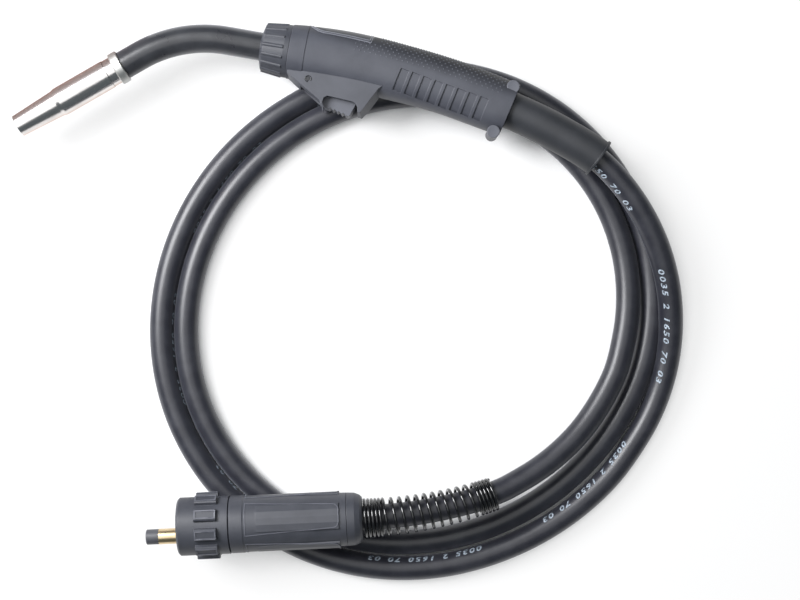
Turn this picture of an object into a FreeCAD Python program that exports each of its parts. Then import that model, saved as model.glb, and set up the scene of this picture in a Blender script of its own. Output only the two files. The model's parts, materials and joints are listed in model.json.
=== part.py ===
import FreeCAD, Part
import math
import os
import re
import Sketcher
from FreeCAD import Placement, Rotation, Vector

# Gas-cooled hand torch for wire welding, with its coiled cable and its machine plug.
# Row origin: centre of the contact tip's front mouth, +Z up, torch lying on its side.
# "Bench" points have their zero on the floor below the middle of the laid-out set.

UP = Vector(0, 0, 1)
AHEAD = Vector(1, 0, 0)

SIZES = {
    # Gas nozzle and what it holds, along the head's axis from the mouth
    "nozzle_length": 84.0,
    "nozzle_mouth_radius": 9.0,
    "nozzle_taper_radius": 10.9,
    "nozzle_taper_length": 36.5,
    "nozzle_barrel_radius": 11.75,
    "nozzle_shoulder": 3.0,
    "nozzle_wall": 1.2,
    "nozzle_mouth_bore": 8.0,
    "nozzle_mouth_land": 5.0,
    "tip_recess": 6.0,
    "tip_length": 36.0,
    "tip_radius": 4.0,
    "tip_nose_radius": 2.6,
    "tip_nose_length": 7.0,
    "tip_thread_radius": 3.0,
    "tip_thread_length": 8.0,
    "wire_bore": 0.6,
    "holder_radius": 6.5,
    "holder_gap": 4.0,
    "diffuser_wall": 0.6,
    "diffuser_length": 12.0,
    "diffuser_setback": 10.0,
    "gas_hole_radius": 1.1,
    "gas_hole_count": 6,
    "gas_bore": 2.2,
    "insulator_overlap": 20.0,
    "insulator_proud": 6.0,
    "sleeve_radius": 11.3,
    "sleeve_length": 6.6,
    "ferrule_radius": 13.4,
    "ferrule_length": 7.0,
    # Swan neck
    "neck_cover_radius": 11.4,
    "neck_tube_radius": 8.0,
    "neck_bore": 4.0,
    "neck_front_run": 15.0,
    "neck_bend_radius": 105.0,
    "neck_bend_angle": 40.0,
    "neck_rear_run": 30.3,
    "neck_in_handle": 40.0,
    "tube_in_handle": 52.0,
    # Ring nut at the front of the handle
    "nut_length": 21.5,
    "nut_front_radius": 19.2,
    "nut_rear_radius": 21.3,
    "nut_front_cone": 2.0,
    "nut_front_wall": 3.0,
    "nut_rib_count": 16,
    "nut_rib_radius": 1.7,
    "nut_rib_height": 0.8,
    "nut_rear_band": 4.0,
    # Handle
    "grip_depth": 46.0,
    "grip_thickness": 38.0,
    "handle_wall": 2.6,
    "spigot_radius": 16.2,
    "inlay_depth": 1.2,
    "inlay_half_width": 12.8,
    "inlay_length": 48.0,
    "collar_length": 13.0,
    "collar_height": 0.35,
    "groove_count": 8,
    "groove_pitch": 9.6,
    "groove_width": 7.0,
    "groove_length": 18.0,
    "groove_depth": 0.9,
    "boss_radius": 4.9,
    "boss_half_height": 15.0,
    "screw_radius": 1.6,
    "screw_head_radius": 3.0,
    "screw_head_height": 2.4,
    "screw_sink": 4.0,
    "cap_height": 1.2,
    # Trigger
    "guard_half_width": 15.5,
    "slot_half_width": 10.0,
    "lever_half_width": 9.0,
    "trigger_pin_radius": 1.6,
    "plunger_radius": 1.6,
    "plunger_travel": 1.97,
    "switch_length": 20.0,
    "switch_height": 6.2,
    "switch_half_width": 9.7,
    "lead_wire_radius": 0.9,
    # Cable
    "cable_diameter": 19.8,
    "boot_length": 82.0,
    "boot_radius": 15.1,
    "boot_rim_radius": 16.3,
    "boot_rim_length": 1.6,
    "boot_spigot_radius": 13.0,
    "boot_spigot_length": 10.0,
    "crimp_wall": 3.2,
    "conduit_radius": 6.0,
    "block_radius": 9.6,
    "block_length": 30.0,
    "floor_sink": 0.5,
    "rest_gap": 0.3,
    # Coil: radius of the centre line against its angle
    "coil_radius": 217.2,
    "coil_step": 21.2,
    "coil_cos": 4.1,
    "coil_sin": 9.85,
    "coil_cos_twice": 0.8,
    "coil_sin_twice": 5.7,
    "coil_start": 40.0,
    "coil_end": 730.0,
    "coil_lift": 10.0,
    "coil_lift_angle": 90.0,
    # Plug, along its axis from the lock nut's front face
    "lock_length": 41.2,
    "lock_radius": 23.3,
    "lock_mouth_bore": 19.5,
    "lock_mouth_depth": 24.0,
    "lock_shoulder_bore": 18.0,
    "lock_shoulder_length": 6.0,
    "lock_rear_bore": 21.0,
    "lock_pad_radius": 26.2,
    "lock_pad_start": 14.8,
    "lock_pad_length": 17.7,
    "lock_pad_width": 9.7,
    "lock_pad_count": 10,
    "housing_front_radius": 23.0,
    "housing_rear_radius": 21.4,
    "housing_length": 93.9,
    "housing_step": 11.0,
    "housing_wall": 3.0,
    "housing_bore": 19.0,
    "panel_start": 22.0,
    "panel_length": 66.0,
    "panel_width": 21.0,
    "panel_turn": -17.0,
    "panel_height": 1.3,
    "panel_count": 4,
    "rear_cap_length": 12.2,
    "rear_cap_end_radius": 19.3,
    "face_radius": 17.5,
    "face_start": 20.0,
    "face_end": 44.0,
    "face_flange_radius": 20.6,
    "face_flange_length": 3.7,
    "pin_offset": 7.2,
    "pin_radius": 6.3,
    "pin_root_radius": 7.0,
    "pin_cap_step": 0.2,
    "pin_nose_radius": 5.0,
    "pin_nose_length": 9.2,
    "pin_reach": 25.6,
    "pin_bore": 2.3,
    "ring_section": 1.1,
    "contact_radius": 1.5,
    "contact_side": 7.5,
    "contact_tip_place": 8.0,
    "contact_stroke": 3.0,
    "barrel_radius": 2.5,
    "body_neck_radius": 6.0,
    "plug_cable_end": 122.0,
    # Bend spring
    "spring_length": 107.0,
    "spring_bend": 17.4,
    "spring_wire": 2.6,
    "spring_front_diameter": 33.0,
    "spring_rear_diameter": 28.0,
    "spring_closed_pitch": 3.0,
    "spring_closed_turns": 5,
    "spring_open_turns": 11,
    # Clearances
    "slide_fit": 0.05,
    "free_fit": 0.3,
    "end_gap": 0.3,
}

doc = FreeCAD.newDocument("wire_torch")
sheet = doc.addObject("Spreadsheet::Sheet", "sizes")
for row, (name, amount) in enumerate(SIZES.items(), 1):
    sheet.set("A%d" % row, name)
    sheet.set("B%d" % row, str(amount))
    sheet.setAlias("B%d" % row, name)
doc.recompute()

parts = {}


def bound(formula):
    """Formula with the sheet's name before each of its cells."""
    return re.sub(r"\b([a-z]+_[a-z_]+)\b", r"sizes.\1", formula)


def size(formula):
    """Number that a formula of the sheet's cells gives now."""
    return float(sheet.evalExpression(bound(formula)))


def keep(label, part, place=None):
    """Take an object as the sub-part of that name, at its place."""
    part.Label = label
    if place is not None:
        part.Placement = place
    parts[label] = part
    return part


def keep_shape(label, shape, place=None):
    """Sub-part whose solid was made with the shape functions."""
    part = doc.addObject("Part::Feature", label)
    part.Shape = shape
    return keep(label, part, place or Placement())


def flat_sketch(body, name, role, offset=None):
    """Empty sketch on one of the body's own origin planes."""
    plane = next(item for item in body.Origin.OriginFeatures if item.Role == role)
    sketch = body.newObject("Sketcher::SketchObject", name)
    sketch.AttachmentSupport = [(plane, "")]
    sketch.MapMode = "FlatFace"
    if offset is not None:
        sketch.AttachmentOffset = offset
    return sketch


def closed_outline(sketch, corners):
    """Closed outline whose corners are pairs of formulas."""
    points = [Vector(size(across), size(along), 0) for across, along in corners]
    count = len(points)
    for index in range(count):
        sketch.addGeometry(Part.LineSegment(points[index], points[(index + 1) % count]), False)
    for index in range(count):
        sketch.addConstraint(Sketcher.Constraint("Coincident", index, 2, (index + 1) % count, 1))
    for index, (across, along) in enumerate(corners):
        for kind, formula, start in (("DistanceX", across, points[index].x),
                                     ("DistanceY", along, points[index].y)):
            number = sketch.addConstraint(Sketcher.Constraint(kind, -1, 1, index, 1, start))
            sketch.setExpression("Constraints[%d]" % number, bound(formula))


def round_outline(sketch, radius):
    """Circle about the sketch's zero."""
    sketch.addGeometry(Part.Circle(Vector(0, 0, 0), UP, size(radius)), False)
    sketch.addConstraint(Sketcher.Constraint("Coincident", 0, 3, -1, 1))
    number = sketch.addConstraint(Sketcher.Constraint("Radius", 0, size(radius)))
    sketch.setExpression("Constraints[%d]" % number, bound(radius))


def turned(label, corners, place):
    """Sub-part turned about its own X axis from (along, radius) formulas."""
    body = doc.addObject("PartDesign::Body", label)
    sketch = flat_sketch(body, label + "_outline", "XY_Plane")
    closed_outline(sketch, corners)
    spin = body.newObject("PartDesign::Revolution", label + "_spin")
    spin.Profile = sketch
    spin.ReferenceAxis = (sketch, ["H_Axis"])
    spin.Angle = 360
    return keep(label, body, place)


def tube_corners(start, end, outer, inner):
    """Corners of a plain tube's half section."""
    return [(start, inner), (end, inner), (end, outer), (start, outer)]


def ring_of(body, kind, name, sketch, length, count):
    """Pad or pocket along the body's X axis, repeated round that axis."""
    doc.recompute()
    feature = body.newObject("PartDesign::" + kind, name)
    feature.Profile = sketch
    feature.setExpression("Length", bound(length))
    if kind == "Pocket":
        feature.Reversed = True
    doc.recompute()
    pattern = body.newObject("PartDesign::PolarPattern", name + "_ring")
    pattern.Originals = [feature]
    axis = next(item for item in body.Origin.OriginFeatures if item.Role == "X_Axis")
    pattern.Axis = (axis, [""])
    pattern.Angle = 360
    pattern.setExpression("Occurrences", bound(count))
    body.Tip = pattern
    doc.recompute()
    return pattern


def padded(label, corners, half_width, place):
    """Sub-part padded to both sides of its own XY plane from corner formulas."""
    body = doc.addObject("PartDesign::Body", label)
    offset = Placement(Vector(0, 0, -size(half_width)), Rotation())
    sketch = flat_sketch(body, label + "_outline", "XY_Plane", offset)
    sketch.setExpression("AttachmentOffset.Base.z", bound("-(" + half_width + ")"))
    closed_outline(sketch, corners)
    pad = body.newObject("PartDesign::Pad", label + "_pad")
    pad.Profile = sketch
    pad.setExpression("Length", bound("2 * (" + half_width + ")"))
    return keep(label, body, place)


def round_bar(radius, start, end):
    """Cylinder between two points."""
    return Part.makeCylinder(radius, (end - start).Length, start, end - start)


def heading(degrees, slope=0.0):
    """Level direction turned from +X, or one that climbs by the slope."""
    level = Vector(math.cos(math.radians(degrees)), math.sin(math.radians(degrees)), slope)
    return level.normalize()


# Paths: straight runs with tangent arcs, and biarcs

def rounded_route(points, radii=None):
    """Edges of a route whose corners are arcs as large as their runs allow."""
    edges = []
    last = points[0]
    for before, corner, after in zip(points, points[1:], points[2:]):
        back = (before - corner).normalize()
        onward = (after - corner).normalize()
        half_turn = (math.pi - back.getAngle(onward)) / 2
        reach = 0.45 * min((before - corner).Length, (after - corner).Length)
        radius = reach / math.tan(half_turn)
        middle = corner + (back + onward).normalize() * (radius / math.cos(half_turn) - radius)
        first = corner + back * reach
        edges.append(Part.LineSegment(last, first).toShape())
        edges.append(Part.Arc(first, middle, corner + onward * reach).toShape())
        last = corner + onward * reach
        if radii is not None:
            radii.append(radius)
    edges.append(Part.LineSegment(last, points[-1]).toShape())
    return edges


def tangent_arc(start, direction, end):
    """Arc that leaves its start along the direction and reaches the end."""
    chord = end - start
    side = chord - direction * chord.dot(direction)
    radius = chord.Length ** 2 / (2 * side.Length)
    centre = start + side.normalize() * radius
    middle = ((start - centre) + (end - centre)).normalize() * radius
    return Part.Arc(start, centre + middle, end).toShape()


def biarc(start, start_way, end, end_way):
    """Two tangent arcs between two points with their directions."""
    chord = end - start
    both = start_way + end_way
    bend = 2 * (1 - start_way.dot(end_way))
    reach = (math.sqrt(chord.dot(both) ** 2 + bend * chord.dot(chord)) - chord.dot(both)) / bend
    joint = (start + start_way * reach + end - end_way * reach) * 0.5
    first = tangent_arc(start, start_way, joint)
    second = tangent_arc(end, end_way * -1, joint)
    return [first, second.reversed()]


def smooth_turns(place_at, nodes, straight):
    """Edges of a wound line through its nodes, with a straight stretch at each end."""
    small = (nodes[-1] - nodes[0]) * 1e-6
    points = [place_at(node) for node in nodes]
    ways = [(place_at(node + small) - place_at(node - small)).normalize() for node in nodes]
    edges = [Part.LineSegment(points[0] - ways[0] * straight, points[0]).toShape()]
    for start, start_way, end, end_way in zip(points, ways, points[1:], ways[1:]):
        edges += biarc(start, start_way, end, end_way)
    edges.append(Part.LineSegment(points[-1], points[-1] + ways[-1] * straight).toShape())
    return edges


def along_edges(edges, start, end):
    """The stretch of a route between two lengths from its start."""
    kept = []
    passed = 0.0
    for edge in edges:
        length = edge.Length
        low = max(start - passed, 0.0)
        high = min(end - passed, length)
        if high - low > 1e-6:
            first = edge.getParameterByLength(low)
            last = edge.getParameterByLength(high)
            kept.append(edge.Curve.toShape(first, last))
        passed += length
    return kept


def pipe(edges, radius):
    """Round solid along a tangent route."""
    spine = Part.Wire(edges)
    start = spine.Edges[0].Vertexes[0].Point
    first = spine.Edges[0]
    way = first.tangentAt(first.FirstParameter)
    ring = Part.Wire([Part.Circle(start, way, radius).toShape()])
    solid = spine.makePipeShell([ring], True, False)
    wanted = math.pi * radius ** 2 * spine.Length
    if abs(solid.Volume / wanted - 1) > 0.01:
        raise ValueError("pipe volume %.0f, expected %.0f" % (solid.Volume, wanted))
    return solid


def least_gap(edges, thickness, apart):
    """Least gap of a wound tube to itself, measured on points of its centre line."""
    spine = Part.Wire(edges)
    step = thickness / 4
    points = spine.discretize(Number=int(spine.Length / step) + 1)
    skip = int(apart / step)
    nearest = min(points[index].distanceToPoint(other)
                  for index in range(len(points))
                  for other in points[index + skip:])
    return nearest - thickness


# Where the groups stand: bench heights, the handle's front, the neck and the head

cable_radius = size("cable_diameter / 2")
cable_floor_height = cable_radius - size("floor_sink")
cable_top = size("cable_diameter - floor_sink + rest_gap")
torch_height = cable_top + size("grip_thickness / 2")
plug_height = cable_top + size("housing_front_radius")

NUT_FRONT = Vector(-110.0, 204.4, torch_height)
NUT_HEADING = -10.0
neck_back = heading(NUT_HEADING)
bend_start = NUT_FRONT - neck_back * size("neck_rear_run")
bend_side = Vector(neck_back.y, -neck_back.x, 0)
bend_centre = bend_start + bend_side * size("neck_bend_radius")
HEAD_HEADING = NUT_HEADING + size("neck_bend_angle")
head_back = heading(HEAD_HEADING)
bend_end = bend_centre - Vector(head_back.y, -head_back.x, 0) * size("neck_bend_radius")
neck_front = bend_end - head_back * size("neck_front_run")
head_length = size("nozzle_length + end_gap + sleeve_length + ferrule_length + end_gap")
mouth_centre = neck_front - head_back * head_length
bench_zero = mouth_centre + head_back * size("tip_recess")


def bench(x, y, z):
    """Row point of a bench point."""
    return Vector(x, y, z) - bench_zero


head_place = Placement(mouth_centre - bench_zero, Rotation(UP, HEAD_HEADING))
nut_place = Placement(NUT_FRONT - bench_zero, Rotation(UP, NUT_HEADING))


# Head: nozzle, tip and what carries them

turned("gas_nozzle", [
    ("0", "nozzle_mouth_bore"),
    ("nozzle_mouth_land", "nozzle_mouth_bore"),
    ("nozzle_taper_length", "nozzle_taper_radius - nozzle_wall"),
    ("nozzle_taper_length + nozzle_shoulder", "nozzle_barrel_radius - nozzle_wall"),
    ("nozzle_length", "nozzle_barrel_radius - nozzle_wall"),
    ("nozzle_length", "nozzle_barrel_radius"),
    ("nozzle_taper_length + nozzle_shoulder", "nozzle_barrel_radius"),
    ("nozzle_taper_length", "nozzle_taper_radius"),
    ("0", "nozzle_mouth_radius"),
], head_place)

turned("contact_tip", [
    ("tip_recess", "wire_bore"),
    ("tip_recess + tip_length", "wire_bore"),
    ("tip_recess + tip_length", "tip_thread_radius"),
    ("tip_recess + tip_length - tip_thread_length", "tip_thread_radius"),
    ("tip_recess + tip_length - tip_thread_length", "tip_radius"),
    ("tip_recess + tip_nose_length", "tip_radius"),
    ("tip_recess", "tip_nose_radius"),
], head_place)

insulator_start = "nozzle_length - insulator_overlap"
insulator_end = "nozzle_length + insulator_proud"
holder_start = "tip_recess + tip_length - tip_thread_length"
holder_end = insulator_start + " - holder_gap"
turned("tip_holder", [
    (holder_start, "tip_thread_radius + slide_fit"),
    (holder_start + " + tip_thread_length + 1", "tip_thread_radius + slide_fit"),
    (holder_start + " + tip_thread_length + 1", "gas_bore"),
    (holder_end, "gas_bore"),
    (holder_end, "holder_radius"),
    (holder_start, "holder_radius"),
], head_place)

diffuser_start = holder_end + " - diffuser_setback"
diffuser = turned("gas_diffuser", tube_corners(
    diffuser_start, diffuser_start + " + diffuser_length",
    "nozzle_barrel_radius - nozzle_wall - diffuser_wall",
    "holder_radius + slide_fit"), head_place)
hole_sketch = flat_sketch(diffuser, "gas_hole", "YZ_Plane", Placement(
    Vector(0, size("holder_radius + gas_hole_radius + 0.4"), size(diffuser_start)), Rotation()))
hole_sketch.setExpression("AttachmentOffset.Base.y", bound("holder_radius + gas_hole_radius + 0.4"))
hole_sketch.setExpression("AttachmentOffset.Base.z", bound(diffuser_start))
round_outline(hole_sketch, "gas_hole_radius")
ring_of(diffuser, "Pocket", "gas_holes", hole_sketch, "diffuser_length", "gas_hole_count")

turned("nozzle_insulator", [
    (insulator_start, "neck_tube_radius + slide_fit"),
    (insulator_end, "neck_tube_radius + slide_fit"),
    (insulator_end, "sleeve_radius - nozzle_wall - slide_fit"),
    ("nozzle_length + end_gap", "sleeve_radius - nozzle_wall - slide_fit"),
    ("nozzle_length + end_gap", "nozzle_barrel_radius - nozzle_wall - slide_fit"),
    (insulator_start, "nozzle_barrel_radius - nozzle_wall - slide_fit"),
], head_place)

turned("nozzle_sleeve", tube_corners(
    "nozzle_length + end_gap", "nozzle_length + end_gap + sleeve_length",
    "sleeve_radius", "sleeve_radius - nozzle_wall"), head_place)

ferrule_start = "nozzle_length + end_gap + sleeve_length"
turned("neck_ferrule", [
    (ferrule_start, "neck_tube_radius + slide_fit"),
    (ferrule_start + " + ferrule_length", "neck_tube_radius + slide_fit"),
    (ferrule_start + " + ferrule_length", "ferrule_radius - 0.6"),
    (ferrule_start + " + ferrule_length - 0.6", "ferrule_radius"),
    (ferrule_start + " + 0.6", "ferrule_radius"),
    (ferrule_start, "ferrule_radius - 0.6"),
], head_place)


# Swan neck: inner tube and its cover, along one bent line

tube_front = mouth_centre + head_back * size(insulator_start)
neck_middle = bend_centre - (bend_side + Vector(head_back.y, -head_back.x, 0)).normalize() * size(
    "neck_bend_radius")


def neck_edges(front, rear_length):
    """Line of the neck from a point of the head's axis into the handle."""
    rear = NUT_FRONT + neck_back * rear_length
    return [
        Part.LineSegment(front - bench_zero, bend_end - bench_zero).toShape(),
        Part.Arc(bend_end - bench_zero, neck_middle - bench_zero, bend_start - bench_zero).toShape(),
        Part.LineSegment(bend_start - bench_zero, rear - bench_zero).toShape(),
    ]


tube_line = neck_edges(tube_front, size("tube_in_handle"))
keep_shape("neck_tube", pipe(tube_line, size("neck_tube_radius")).cut(pipe(tube_line, size("neck_bore"))))
cover_line = neck_edges(neck_front, size("neck_in_handle"))
keep_shape("neck_cover", pipe(cover_line, size("neck_cover_radius")).cut(
    pipe(cover_line, size("neck_tube_radius + slide_fit"))))


# Ring nut

ring_nut = turned("ring_nut", [
    ("-nut_front_cone", "neck_cover_radius + free_fit"),
    ("nut_front_wall", "neck_cover_radius + free_fit"),
    ("nut_front_wall", "spigot_radius + free_fit"),
    ("nut_length", "spigot_radius + free_fit"),
    ("nut_length", "nut_rear_radius"),
    ("nut_length - nut_rear_band", "nut_rear_radius"),
    ("0.8", "nut_front_radius"),
    ("0", "nut_front_radius - 0.8"),
], nut_place)
rib_run = "(nut_length - nut_rear_band - 0.8)"
rib_tilt = math.degrees(math.atan2(size("nut_rear_radius - nut_front_radius"), size(rib_run)))
rib_height = "nut_front_radius + nut_rib_height - nut_rib_radius"
rib_sketch = flat_sketch(ring_nut, "rib", "YZ_Plane", Placement(
    Vector(0, size(rib_height), 0.8), Rotation(AHEAD, -rib_tilt)))
rib_sketch.setExpression("AttachmentOffset.Base.y", bound(rib_height))
round_outline(rib_sketch, "nut_rib_radius")
ring_of(ring_nut, "Pad", "ribs", rib_sketch, rib_run, "nut_rib_count")


# Handle: stations along its middle line, each with its place, tilt and share of the grip

HANDLE_FRONT = NUT_FRONT + neck_back * size("nut_length + end_gap")
STATIONS = (
    # x, y, heading, share of depth, share of thickness
    (HANDLE_FRONT.x, HANDLE_FRONT.y, NUT_HEADING, 0.926, 1.12),
    (-64.4, 197.3, -10.5, 0.983, 1.05),
    (-31.9, 191.0, -13.0, 1.017, 1.0),
    (0.6, 183.0, -16.5, 1.0, 1.0),
    (30.4, 174.7, -19.5, 0.983, 1.0),
    (60.8, 164.1, -20.5, 0.983, 1.0),
    (88.6, 153.6, -23.0, 0.948, 0.975),
)
SECTION_POINTS = 16
SQUARENESS = 2.3


def station_middle(index):
    """Row point and heading of a station."""
    x, y, turn = STATIONS[index][:3]
    return bench(x, y, torch_height), turn


def section_wire(index, inset):
    """Closed outline of a station, drawn in by the inset."""
    middle, turn = station_middle(index)
    side = heading(turn + 90)
    half_depth = STATIONS[index][3] * size("grip_depth / 2") - inset
    half_thickness = STATIONS[index][4] * size("grip_thickness / 2") - inset
    points = []
    for step in range(SECTION_POINTS):
        angle = 2 * math.pi * step / SECTION_POINTS
        across = math.copysign(abs(math.cos(angle)) ** (2 / SQUARENESS), math.cos(angle))
        height = math.copysign(abs(math.sin(angle)) ** (2 / SQUARENESS), math.sin(angle))
        points.append(middle + side * (half_depth * across) + UP * (half_thickness * height))
    curve = Part.BSplineCurve()
    curve.interpolate(points, PeriodicFlag=True)
    return Part.Wire([curve.toShape()])


def handle_form(inset):
    """Solid of the handle's outer form, drawn in by the inset."""
    return Part.makeLoft([section_wire(index, inset) for index in range(len(STATIONS))], True, False)


def slab(middle, turn, low, high, half=60.0):
    """Block across the handle between two distances ahead of a point."""
    block = Part.makeBox(high - low, 2 * half, 2 * half, Vector(low, -half, -half))
    block.Placement = Placement(middle, Rotation(UP, turn))
    return block


front_middle, front_turn = station_middle(0)
rear_middle, rear_turn = station_middle(-1)
spine_middle, spine_turn = station_middle(2)
wall = size("handle_wall")
outer_form = handle_form(0.0)
hollow = handle_form(wall)
hollow = hollow.cut(slab(front_middle, front_turn, -50, wall)).cut(slab(rear_middle, rear_turn, -wall, 50))


def surface_layer(depth, blocks):
    """What a set of blocks takes out of the handle's surface down to a depth."""
    return outer_form.cut(handle_form(depth)).common(blocks)


# Inlay in the handle's back, pointed at the front, drawn as seen from behind the hand

INLAY_HEADING = -11.7
inlay_front = -size("inlay_length / 2")
inlay_edge = size("inlay_half_width")
inlay_outline = [
    (inlay_front, 0.25 * inlay_edge), (inlay_front + 5, 0.7 * inlay_edge), (inlay_front + 11, inlay_edge),
    (-inlay_front, inlay_edge), (-inlay_front, -inlay_edge), (inlay_front + 11, -inlay_edge),
    (inlay_front + 5, -0.7 * inlay_edge), (inlay_front, -0.25 * inlay_edge),
]
inlay_corners = [Vector(along, 5, across) for along, across in inlay_outline]
inlay_block = Part.Face(Part.makePolygon(inlay_corners + inlay_corners[:1])).extrude(Vector(0, 40, 0))
inlay_middle = (station_middle(1)[0] + station_middle(2)[0]) * 0.5
inlay_block.Placement = Placement(inlay_middle, Rotation(UP, INLAY_HEADING))
inlay = surface_layer(size("inlay_depth"), inlay_block)
keep_shape("handle_inlay", inlay)

# Finger grooves on both flats: where the first begins, how the row runs and how each is turned

GROOVE_START = Vector(0.9, 184.8, 0)
GROOVE_HEADING = -19.5
GROOVE_TURN = -22.7
GROOVE_LOW = 4.0
groove_blocks = []
for index in range(int(size("groove_count"))):
    corner = GROOVE_START + heading(GROOVE_HEADING) * (index * size("groove_pitch"))
    for low in (GROOVE_LOW, -GROOVE_LOW - 30):
        block = Part.makeBox(size("groove_width"), size("groove_length"), 30,
                             Vector(0, -size("groove_length"), low))
        block.Placement = Placement(bench(corner.x, corner.y, torch_height), Rotation(UP, GROOVE_TURN))
        groove_blocks.append(block)
grooves = surface_layer(size("groove_depth"), Part.Compound(groove_blocks))

BOSSES = (Vector(90.5, 170.5, 0), Vector(74.6, 134.6, 0))
boss_middles = [bench(place.x, place.y, torch_height) for place in BOSSES]
boss_height = UP * size("boss_half_height")
boss_solids = [round_bar(size("boss_radius"), middle - boss_height, middle + boss_height)
               for middle in boss_middles]
spigot = round_bar(size("spigot_radius"), nut_place.multVec(AHEAD * size("nut_front_wall + end_gap")),
                   front_middle + neck_back * wall)
neck_hole = round_bar(size("neck_cover_radius + free_fit / 2"), front_middle - neck_back * 30,
                      front_middle + neck_back * 2 * wall)
boot_hole = round_bar(size("boot_spigot_radius + free_fit"),
                      rear_middle - heading(rear_turn) * size("boot_spigot_length + 1"),
                      rear_middle + heading(rear_turn) * 5)
rear_room = round_bar(size("boot_radius + 0.6"), rear_middle, rear_middle + heading(rear_turn) * 12)
collar = handle_form(-size("collar_height")).common(
    slab(front_middle, front_turn, 0, size("collar_length"))).cut(outer_form)

# The window under the lever, in the frame of the trigger's pivot

PIVOT = Vector(-73.4, 176.7, 0)
pivot_place = Placement(bench(PIVOT.x, PIVOT.y, torch_height), Rotation())
window = Part.makeBox(46, 22, 2 * size("slot_half_width"), Vector(-6.5, -12, -size("slot_half_width")))
window.Placement = pivot_place
pin_hole = round_bar(size("trigger_pin_radius + slide_fit"), pivot_place.Base - UP * 20,
                     pivot_place.Base + UP * 20)

screw_tools = []
screws = []
caps = []
for middle in boss_middles:
    top = middle + boss_height
    seat = top - UP * size("screw_sink")
    head_top = seat + UP * size("screw_head_height")
    foot = middle - boss_height * 0.7
    screw_tools.append(round_bar(size("screw_head_radius + slide_fit"), seat, top + UP))
    screw_tools.append(round_bar(size("screw_radius + slide_fit"), foot, seat))
    shank = round_bar(size("screw_radius"), foot, seat)
    head = round_bar(size("screw_head_radius"), seat, head_top)
    slot = Part.makeBox(4, 0.8, 1, head_top - Vector(2, 0.4, 0.6))
    screws.append(shank.fuse(head).removeSplitter().cut(slot))
    caps.append(round_bar(size("screw_head_radius"), top - UP * size("cap_height"), top))
keep_shape("handle_screws", Part.Compound(screws))
keep_shape("screw_caps", Part.Compound(caps))

shell = outer_form.cut(hollow).fuse([spigot, collar] + boss_solids)
shell_tools = [neck_hole, boot_hole, rear_room, window, pin_hole, inlay_block.common(inlay), grooves]
for tool in shell_tools + screw_tools:
    shell = shell.cut(tool)
upper_half = Part.makeBox(600, 400, 100, Vector(0, -200, 0))
lower_half = Part.makeBox(600, 400, 100, Vector(0, -200, -100))
for label, half in (("handle_shell_top", upper_half), ("handle_shell_bottom", lower_half)):
    pieces = sorted(shell.common(half).Solids, key=lambda solid: solid.Volume)
    keep_shape(label, pieces[-1])


# Trigger guard, lever, pin and switch, in the frame of the pivot

GUARD_FACE = (
    (-16.6, 7.3), (16.7, 6.0), (41.4, 4.0), (61.9, -3.4), (61.6, -4.6), (56.4, -7.6), (50.2, -15.6),
    (44.8, -22.9), (41.1, -27.2), (39.3, -26.6), (39.3, -22.9), (38.0, -19.9), (35.6, -18.3),
    (15.4, -13.5), (12.4, -15.0), (11.1, -19.2), (10.9, -23.4), (9.0, -16.9), (-16.6, 5.0),
)
GUARD_MIDDLE = (
    (-18.0, 7.3), (16.7, 6.0), (41.4, 4.0), (63.5, -3.4), (63.5, -6.8), (59.3, -9.9), (53.0, -18.2),
    (47.3, -25.5), (42.6, -30.3), (39.3, -29.3), (39.3, -22.9), (38.0, -19.9), (35.6, -18.3),
    (15.4, -13.5), (12.4, -15.0), (11.1, -19.2), (10.9, -23.8), (8.2, -21.4), (-18.0, 3.1),
)
LEVER_ROOM = ((-6.5, -34.0), (36.5, -34.0), (39.8, -20.0), (42.5, -12.0), (42.5, 9.0), (-6.5, 9.0))
LEVER = (
    (-3.4, -3.6), (10.2, -12.9), (12.1, -21.7), (16.2, -23.4), (17.8, -22.4), (19.6, -24.6),
    (21.2, -23.6), (23.0, -26.0), (24.6, -25.0), (26.4, -27.6), (28.0, -26.6), (30.0, -29.0),
    (32.7, -29.0), (38.0, -19.8), (30.5, -12.6), (13.5, -7.6), (3.6, 2.6), (-2.4, 3.2),
)


def guard_outline(corners, height):
    """Closed outline of the guard at a height above its middle."""
    points = [Vector(x, y, height) for x, y in corners]
    return Part.makePolygon(points + points[:1])


def guard_solid():
    """Guard: it widens from both faces to its middle, and is cut by the handle and the lever's room."""
    half = size("guard_half_width")
    middle = guard_outline(GUARD_MIDDLE, 0)
    halves = [Part.makeLoft([guard_outline(GUARD_FACE, side), middle], True, True) for side in (half, -half)]
    block = halves[0].fuse(halves[1])
    block.Placement = pivot_place
    corners = [Vector(x, y, -size("slot_half_width")) for x, y in LEVER_ROOM]
    room = Part.Face(Part.makePolygon(corners + corners[:1])).extrude(UP * size("2 * slot_half_width"))
    room.Placement = pivot_place
    cut = block.cut(outer_form).cut(collar).cut(room).cut(pin_hole)
    return max(cut.Solids, key=lambda solid: solid.Volume)


lever = padded("trigger_lever", [(str(x), str(y)) for x, y in LEVER], "lever_half_width", pivot_place)
eye = flat_sketch(lever, "eye", "XY_Plane")
round_outline(eye, "trigger_pin_radius + slide_fit")
doc.recompute()
eye_cut = lever.newObject("PartDesign::Pocket", "eye_cut")
eye_cut.Profile = eye
eye_cut.Type = "ThroughAll"
eye_cut.Midplane = True
keep_shape("trigger_housing", guard_solid())

pin = doc.addObject("Part::Cylinder", "trigger_pin")
pin.setExpression("Radius", bound("trigger_pin_radius"))
pin.setExpression("Height", bound("2 * guard_half_width"))
keep("trigger_pin", pin, Placement(pivot_place.Base - UP * size("guard_half_width"), Rotation()))

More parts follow.
